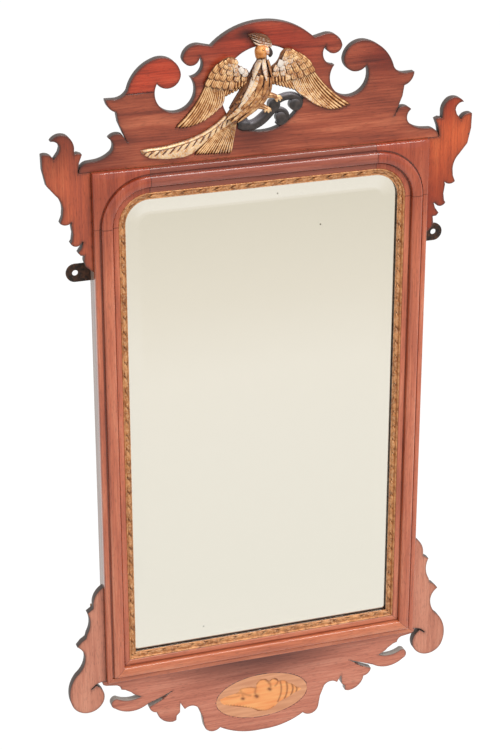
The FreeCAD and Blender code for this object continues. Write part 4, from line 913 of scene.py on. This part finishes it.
def fan_tree():
    """Spreads feathers from a line of quills to a curve of tips, each a little over the last."""
    tree, given = stage_tree("feather_fan", (
        ("Geometry", ["Wing"]),
        ("Vector", ["Quill First", "Quill Last", "Tip First", "Tip Bend", "Tip Last"]),
        ("Object", ["Feather"]), ("Int", ["Count"]), ("Float", ["Half Width", "Step", "Ruffle", "Wear"]),
        ("Material", ["Gilding"])), "Wing")
    index = add(tree, "GeometryNodeInputIndex").outputs[0]
    last = add(tree, "Math", {0: given["Count"], 1: 1.0}, operation="SUBTRACT").outputs[0]
    share = add(tree, "Math", {0: index, 1: last}, operation="DIVIDE").outputs[0]
    ends = (("Quill First", "Quill Last"), ("Tip First", "Tip Bend"), ("Tip Bend", "Tip Last"))
    root, early, late = [add(tree, "Mix", {0: share, 4: given[a], 5: given[b]},
                             data_type="VECTOR").outputs[1] for a, b in ends]
    tip = add(tree, "Mix", {0: share, 4: early, 5: late}, data_type="VECTOR").outputs[1]
    along = add(tree, "VectorMath", {0: tip, 1: root}, operation="SUBTRACT")
    length = add(tree, "VectorMath", {0: along.outputs[0]}, operation="LENGTH").outputs["Value"]
    ahead = add(tree, "SeparateXYZ", {"Vector": along.outputs[0]})
    back = add(tree, "Math", {0: ahead.outputs["Z"], 1: -1.0}, operation="MULTIPLY")
    straight = add(tree, "Math", {0: back.outputs[0], 1: ahead.outputs["X"]}, operation="ARCTAN2")
    sway = add(tree, "FunctionNodeRandomValue", {"Seed": 11}, data_type="FLOAT")
    sway = add(tree, "Math", {0: sway.outputs[1], 1: 0.5}, operation="SUBTRACT")
    angle = add(tree, "Math", {0: sway.outputs[0], 1: given["Ruffle"], 2: straight.outputs[0]},
                operation="MULTIPLY_ADD")
    lift = add(tree, "Math", {0: index, 1: given["Step"]}, operation="MULTIPLY")
    forward = add(tree, "Math", {0: lift.outputs[0], 1: -1.0}, operation="MULTIPLY")
    above = add(tree, "CombineXYZ", {"Y": forward.outputs[0]}).outputs[0]
    raised = add(tree, "VectorMath", {0: root, 1: above})
    marks = add(tree, "GeometryNodePoints", {"Count": given["Count"], "Position": raised.outputs[0]})
    feather = add(tree, "GeometryNodeObjectInfo", {"Object": given["Feather"]}).outputs["Geometry"]
    size = add(tree, "CombineXYZ", {"X": length, "Y": 1.0, "Z": given["Half Width"]})
    laid = add(tree, "GeometryNodeInstanceOnPoints", {
        "Points": marks.outputs[0], "Instance": feather, "Scale": size.outputs[0],
        "Rotation": add(tree, "CombineXYZ", {"Y": angle.outputs[0]}).outputs[0]})
    chance = add(tree, "FunctionNodeRandomValue", {"Seed": 7, 2: 0.55}, data_type="FLOAT")
    inward = add(tree, "Math", {0: share, 1: given["Wear"]}, operation="MULTIPLY")
    worn = add(tree, "Math", {0: chance.outputs[1], 1: inward.outputs[0]}, operation="MULTIPLY")
    marked = add(tree, "GeometryNodeStoreNamedAttribute",
                 {"Geometry": laid.outputs[0], "Name": "wear", "Value": worn.outputs[0]},
                 data_type="FLOAT", domain="INSTANCE")
    real = add(tree, "GeometryNodeRealizeInstances", {"Geometry": marked.outputs[0]})
    done = add(tree, "GeometryNodeSetMaterial", {"Geometry": real.outputs[0], "Material": given["Gilding"]})
    both = add(tree, "GeometryNodeJoinGeometry")
    tree.links.new(given["Wing"], both.inputs[0])
    tree.links.new(done.outputs[0], both.inputs[0])
    add(tree, "NodeGroupOutput", {"Wing": both.outputs[0]})
    return tree


def on_crest(place, lift):
    """Point of the crest's face in metres, raised towards the front."""
    return Vector((place[0], FACE - lift, TOP + place[1])) * MM


def fan_stage(fan):
    kind, quills, tips, count, half, lift, wear = fan
    return (FEATHER_FAN, {
        "Quill First": on_crest(quills[0], lift), "Quill Last": on_crest(quills[1], lift),
        "Tip First": on_crest(tips[0], lift), "Tip Bend": on_crest(tips[1], lift),
        "Tip Last": on_crest(tips[2], lift), "Feather": FEATHERS[kind], "Count": count, "Half Width": half,
        "Step": FEATHER_STEP * MM, "Ruffle": RUFFLE.get(kind, 0.02), "Wear": wear, "Gilding": GILT_BIRD})


def cushion(name, outline, height, tone):
    """Rounded pad under the coverts."""
    middle = [sum(p[k] for p in outline) / len(outline) for k in (0, 1)]
    ring = curve_through(outline + outline[:1], 60)[:-1]
    stock = Stock()
    rows = []
    for share, lift in ((1, 0), (0.99, 0.55), (0.93, 0.82), (0.8, 0.95), (0.5, 1), (0.05, 1)):
        rows.append([(middle[0] + (x - middle[0]) * share, FACE - height * lift,
                      TOP + middle[1] + (z - middle[1]) * share, tone) for x, z in ring])
    stock.grid(rows, 0.1)
    return stock.mesh(name)


FEATHER_FAN = fan_tree()
KINDS = {
    "left_primary": (2.5, 0.6, 0.9, 1.6, 2.6, (2,), 0.9, 0.04),
    "right_primary": (-2.4, 0.6, 0.9, 1.6, 2.6, (2,), 0.9, 0.04),
    "secondary": (0, 0.7, 0.8, 1.4, 2.0, (2,), 0.9, 0.08),
    "covert": (0, 0.8, 0.5, 1.5, 1.3, (-0.33, 0.33), 0.3, 0.2),
    "tail_quill": (0, 0.34, 0.95, 1.8, 2.4, (2,), 0.9, 0.04),
}
FEATHERS = {kind: placed(kind, unit_feather(kind, *sizes)) for kind, sizes in KINDS.items()}
for word, fans, pad in (("left", LEFT_WING, LEFT_PAD), ("right", RIGHT_WING, RIGHT_PAD)):
    wing = tooled("wing_" + word, cushion("wing_pad_" + word, pad, WING_PAD_HEIGHT, 0.45),
                  [fan_stage(fan) for fan in fans])
    set_piece("carved_wing_" + word, wing, GILT_BIRD, ["bird_wing_" + word], 60)


def heading(run, i):
    """Direction of a run of stations at one of them, as (across, above)."""
    before, after = run[max(i - 1, 0)], run[min(i + 1, len(run) - 1)]
    across, above = after[0] - before[0], after[1] - before[1]
    length = math.hypot(across, above) or 1
    return across / length, above / length


# Single feathers that follow the form under them.
def blade(stock, path, half, ground, crown, wear, bright, lines=2, rows=18):
    """Lance-shaped feather along a path of (across, above), lying on a ground that gives its depth."""
    run = curve_through(path, rows)
    skin = []
    for i, (x, z) in enumerate(run):
        t = i / (rows - 1)
        ax, az = heading(run, i)
        wide = half * max(0.06, math.sin(math.pi * min(1, 0.2 + 0.79 * t)) ** 0.75)
        row = []
        for j in range(15):
            s = j / 7 - 1
            edge = max(0.0, 1 - abs(s) ** 2.4) ** 0.55
            cut = max(0.0, math.cos(math.pi * lines * (abs(s) + 0.12 * t))) ** 4 if 0.15 < abs(s) else 0.0
            high = crown * edge * (0.55 + 0.45 * t) * (1 - 0.4 * cut)
            px, pz = x - az * wide * s, z + ax * wide * s
            # Painted shade: darker towards the rim and in the cut lines; the brightness sets the whole
            # feather's tone.
            rim = min(1, max(0.0, 0.96 - abs(s)) / 0.34)
            row.append((px, ground(px, pz) - high + (0.6 if abs(s) == 1 else 0), TOP + pz,
                        0.03 + 0.97 * bright * rim * (1 - 0.65 * cut)))
        skin.append(row)
    stock.grid(skin, wear)


def limb(stock, path, axis, flat, wear, flutes=0, sides=16, rows=40, square=1.0):
    """Round limb along a path of (across, above, half width), its depth a share of its width."""
    run = curve_through(path, rows)
    skin = []
    for i, (x, z, half) in enumerate(run):
        ax, az = heading(run, i)
        row = []
        for j in range(sides):
            a = 2 * math.pi * j / sides
            groove = 0.5 + 0.5 * math.cos(flutes * a) if flutes else 1.0
            r = half * (1 - (0.12 * (1 - groove) if flutes else 0))
            out, up = (math.copysign(abs(v) ** square, v) * r for v in (math.cos(a), math.sin(a)))
            # The flutes' grooves are darker, as painted shade.
            row.append((x - az * out, axis + flat * up, TOP + z + ax * out, 0.35 + 0.65 * groove))
        skin.append(row)
    stock.grid(skin, wear)


BODY_RUN = curve_through(BODY, 120)


def breast(x, z):
    """Depth of the bird's front at a place on its body."""
    best = min(range(len(BODY_RUN)), key=lambda i: (BODY_RUN[i][0] - x) ** 2 + (BODY_RUN[i][1] - z) ** 2)
    cx, cz, wide, deep = BODY_RUN[best]
    off = min(1.0, math.hypot(x - cx, z - cz) / max(wide, 0.1))
    return BODY_AXIS - deep * math.sqrt(max(0.0, 1 - off * off))


def bird_trunk(stock, run, laps, sides=40):
    """Rounded form through its sections, cut in small overlapping feathers where laps is set."""
    rows = []
    for i, (x, z, wide, deep) in enumerate(run):
        ax, az = heading(run, i)
        row = []
        for j in range(sides):
            a = 2 * math.pi * j / sides
            # Each small feather is darker at its edge under the next one, as painted shade.
            scale = ((130 - z) / 6.5 + 0.5 * (int(a * 10 / math.pi) % 2)) % 1.0 if laps else 0.9
            r = 1 + 0.05 * (scale - 0.5)
            row.append((x - az * wide * r * math.cos(a), BODY_AXIS - deep * r * math.sin(a),
                        TOP + z + ax * wide * r * math.cos(a), 0.15 + 0.5 * scale if laps else 0.95))
        rows.append(row)
    stock.grid(rows, 0.1)


def bird_mesh():
    stock = Stock()
    bird_trunk(stock, [station for station in BODY_RUN if station[1] < NAPE + 2], True)
    for index, (path, half, wear, bright) in enumerate(HACKLES):
        blade(stock, path, half, lambda x, z: breast(x, z) - HACKLE_LAP * index, HACKLE_CROWN, wear, bright)
    for leg in LEGS:
        limb(stock, leg, BODY_AXIS - 1, 1.0, 0.1, flutes=6)
    for claw in CLAWS:
        limb(stock, claw, BODY_AXIS - 2, 1.0, 0.1, rows=14)
    return stock.mesh("carved_bird")


def face_mesh():
    """Head with its beak and eyes."""
    stock = Stock()
    bird_trunk(stock, [station for station in BODY_RUN if station[1] > NAPE], False)
    beak = len(stock.points)
    limb(stock, BEAK, BODY_AXIS - 1.5, 1.0, 0.55, rows=24)
    # The beak's far side is darkened, as painted shade.
    stock.carve[beak:] = [max(0.0, min(1.0, (4.2 - x) / 1.8)) for x, y, z in stock.points[beak:]]
    x, z = EYE
    for radius, lift, carve in ((2.0, 0.5, 1.0), (1.2, -0.4, 0.0)):
        start = len(stock.carve)
        ball = [(x - radius, z, 0.2), (x - radius * 0.6, z, radius * 0.8), (x, z, radius),
                (x + radius * 0.6, z, radius * 0.8), (x + radius, z, 0.2)]
        limb(stock, ball, breast(x, z) + lift, 1.0, 0.0, rows=12)
        stock.carve[start:] = [carve] * (len(stock.carve) - start)
    return stock.mesh("carved_head")


def plume_mesh():
    stock = Stock()
    for index, (path, half, wear, bright) in enumerate(PLUME):
        seat = FACE - PLUME_SEAT - PLUME_LAP * index
        blade(stock, path, half, lambda x, z: seat, PLUME_CROWN, wear, bright)
    return joined(cushion("plume_bed", PLUME_BED, PLUME_BED_HEIGHT, 0.3), stock.mesh("plume_feathers"))


def tail_mesh():
    """Long curled feather: a quill band along the top, then a vane with slanting cuts."""
    stock = Stock()
    upper, lower = curve_through(TAIL_UPPER, 220), curve_through(TAIL_LOWER, 220)
    rows, travel = [], 0.0
    for i, (a, b) in enumerate(zip(upper, lower)):
        travel += math.dist(a, upper[i - 1]) if i else 0
        close = max(0.25, min(1, (len(upper) - 1 - i) / 14) ** 0.5)
        broad = math.dist(a, b)
        row = [(a[0], FACE, TOP + a[1], 0.1)]
        for k in range(29):
            s = k / 28
            down = s * broad
            phase = (travel - 1.35 * down) / TAIL_CUT_PITCH % 1.0
            length = max(0.0, math.sin(math.pi * min(1, max(0, (down - 4) / 7.6)))) ** 0.5
            slot = math.exp(-((phase - 0.5) / 0.15) ** 2) * length
            seam = math.exp(-((down - QUILL_BAND) / 0.6) ** 2)
            if down < QUILL_BAND:
                high = 4.8 + 1.4 * math.sin(math.pi * down / QUILL_BAND)
            else:
                high = 3.6 + 1.2 * math.sin(math.pi * s) ** 0.6
            high = (high - 1.6 * slot - 0.8 * seam) * close
            # The slanting cuts and the seam under the quill band are darker, as painted shade.
            row.append((a[0] + (b[0] - a[0]) * s, FACE - high, TOP + a[1] + (b[1] - a[1]) * s,
                        max(0.0, 1 - slot - 0.75 * seam)))
        row.append((b[0], FACE, TOP + b[1], 0.1))
        rows.append(row)
    stock.grid(rows, 0.36)
    return stock.mesh("carved_tail")


set_piece("carved_bird", bird_mesh(), GILT_BIRD, ["bird_body"], 60)
set_piece("carved_head", face_mesh(), GILT_FACE, ["bird_body"], 60)
set_piece("carved_plume", plume_mesh(), GILT_BIRD, ["bird_plume"], 60)
tail = tooled("tail", tail_mesh(), [fan_stage(TAIL_FAN)])
set_piece("carved_tail", tail, GILT_BIRD, ["bird_tail"], 60)
for pattern in FEATHERS.values():
    bpy.data.objects.remove(pattern)


# Branch
def branch_mesh():
    stock = Stock()
    for path in (STEM, SPUR, LOWER_SCROLL, UPPER_SCROLL):
        limb(stock, path, BRANCH_AXIS, 0.95, 0.0, sides=20, rows=60, square=0.7)
    for x, z, radius, proud in SCROLL_EYES:
        rows = []
        turning = ((0.9, 4.5), (1, 3), (1, 0.4 - proud), (0.86, -proud), (0.5, -0.4 - proud),
                   (0.03, -0.5 - proud))
        for share, depth in turning:
            rows.append([(x + radius * share * math.cos(2 * math.pi * k / 28), BRANCH_AXIS + depth,
                          TOP + z + radius * share * math.sin(2 * math.pi * k / 28), 1.0)
                         for k in range(28)])
        stock.grid(rows, 0.0)
    return stock.mesh("carved_branch")


set_piece("carved_branch", branch_mesh(), EBONY, ["branch"], 60)


# Shell inlay
def shell_mesh():
    """Conch in a fine grid, with the scorched lines as values at its points."""
    work = bmesh.new()
    outline = curve_through(CONCH + CONCH[:1], 160)[:-1]
    work.faces.new([work.verts.new(Vector((x, FACE - 0.05, INLAY_Z + z)) * MM) for x, z in outline])
    for axis, low, high in ((0, -62, 60), (2, -28, 28)):
        for step in range(int((high - low) / SCORCH_GRID)):
            cut, normal = Vector((0, 0, INLAY_Z)) * MM, Vector()
            cut[axis] += (low + step * SCORCH_GRID) * MM
            normal[axis] = 1
            geom = work.verts[:] + work.edges[:] + work.faces[:]
            bmesh.ops.bisect_plane(work, geom=geom, plane_co=cut, plane_no=normal)
    bmesh.ops.recalc_face_normals(work, faces=work.faces)
    if sum(f.normal.y for f in work.faces) > 0:
        bmesh.ops.reverse_faces(work, faces=work.faces)
    made = struck(work, "conch_veneer")
    lines = [(curve_through(path, 24), wide, depth) for path, wide, depth in SCORCH]
    values = []
    for v in made.vertices:
        x, z = v.co.x / MM, v.co.z / MM - INLAY_Z
        burn = 0.0
        for path, wide, depth in lines:
            near = min((x - a) ** 2 + (z - b) ** 2 for a, b in path)
            burn = max(burn, depth * math.exp(-near / (wide * wide)))
        values.append(burn)
    mark(made, scorch=values)
    return made


set_piece("conch_inlay", shell_mesh(), SHELL_WOOD, ["inlay_shell"], 30)

# CAD nodes whose shape is right keep it and take their finish.
FINISHES = {
    PINE_UP: ["carcass_stile_left", "carcass_stile_right", "glass_wedges", "ear_blocks"],
    PINE_ACROSS: ["carcass_rail_top", "carcass_rail_bottom", "backboard_lower", "backboard_middle",
                  "backboard_upper", "crest_blocks", "apron_blocks"],
    IRON: ["plate_nails", "backboard_nails"],
    SATINWOOD: ["inlay_ground"],
}
for finish, nodes in FINISHES.items():
    for node in nodes:
        dress(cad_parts[node].data, finish)


# Floor, light and camera
def eye_rays(tree):
    """Two marks of a ray: it comes straight from the eye; it comes straight, mirrored or through glass."""
    rays = add(tree, "LightPath").outputs
    seen = add(tree, "Math", {0: rays["Is Camera Ray"], 1: rays["Is Glossy Ray"]},
               operation="MAXIMUM").outputs[0]
    seen = add(tree, "Math", {0: seen, 1: rays["Is Transmission Ray"]}, operation="MAXIMUM").outputs[0]
    return rays["Is Camera Ray"], seen


floor_mesh = bpy.data.meshes.new("floor")
floor_corners = [(x, y, FLOOR_Z) for x, y in ((-9, -9), (9, -9), (9, 9), (-9, 9))]
floor_mesh.from_pydata(floor_corners, [], [(0, 1, 2, 3)])
floor = placed("floor", floor_mesh)
paper = bpy.data.materials.new("pale_floor")
tree = cleared(paper)
straight, seen = eye_rays(tree)
matt = add(tree, "BsdfDiffuse", {"Color": colour("#F2F2F0")})
# The floor pales towards the mirror, so the glass shows a soft grading from top to bottom.
ahead = add(tree, "SeparateXYZ", {"Vector": add(tree, "TexCoord").outputs["Object"]})
reach = add(tree, "MapRange", {"Value": ahead.outputs["Y"], "From Min": -4.0, "From Max": 0.0})
tone = add(tree, "ValToRGB", {"Fac": reach.outputs["Result"]},
           [(0.2, "#EAE8DE"), (0.95, "#FFFFFF"), (0.4, "#F3F1EA"), (0.51, "#FAFAF7"), (0.6, "#F8F9F7"),
            (0.75, "#F6F8F6")])
tone = add(tree, "Mix", {0: straight, 6: tone.outputs["Color"], 7: colour("#FFFFFF")}, data_type="RGBA")
glow = add(tree, "Emission", {"Color": tone.outputs[2], "Strength": 1.16})
share = add(tree, "Math", {0: seen, 1: 0.8}, operation="MULTIPLY")
mixed = add(tree, "MixShader", {0: share.outputs[0], 1: matt.outputs[0], 2: glow.outputs[0]})
add(tree, "OutputMaterial", {"Surface": mixed.outputs[0]})
floor_mesh.materials.append(paper)

world = bpy.data.worlds.new("studio")
bpy.context.scene.world = world
tree = cleared(world)
level = add(tree, "MapRange", {"Value": eye_rays(tree)[1], "To Min": 0.54, "To Max": 1.0})
sky = add(tree, "Background", {"Color": (1, 1, 1, 1), "Strength": level.outputs["Result"]})
add(tree, "OutputWorld", {"Surface": sky.outputs[0]})


def softbox(name, place, target, size, watts):
    lamp = bpy.data.lights.new(name, "AREA")
    lamp.shape, lamp.energy = "RECTANGLE", watts
    lamp.size, lamp.size_y = size
    made = placed(name, lamp)
    made.location = place
    made.rotation_euler = (Vector(target) - Vector(place)).to_track_quat("-Z", "Y").to_euler()


softbox("key_light", (0.8, -2.2, 1.7), (0, 0, -0.2), (1.6, 1.6), 31)
softbox("top_light", (0.6, -1.1, 1.9), (0, 0, -0.1), (1.2, 0.25), 22)
softbox("corner_light", (-1.2, -1.2, 1.6), (-0.15, 0, 0.1), (0.15, 0.15), 1.5)

lens = bpy.data.cameras.new("camera")
lens.sensor_fit, lens.sensor_height, lens.lens = "VERTICAL", 36, 103.877
camera = placed("camera", lens)
camera.location = (-0.8385, -2.5027, 0.9841)
camera.rotation_euler = (math.pi / 2 - 0.41402, 0, -0.3193)
bpy.context.scene.camera = camera
bpy.context.scene.view_settings.view_transform = "Standard"
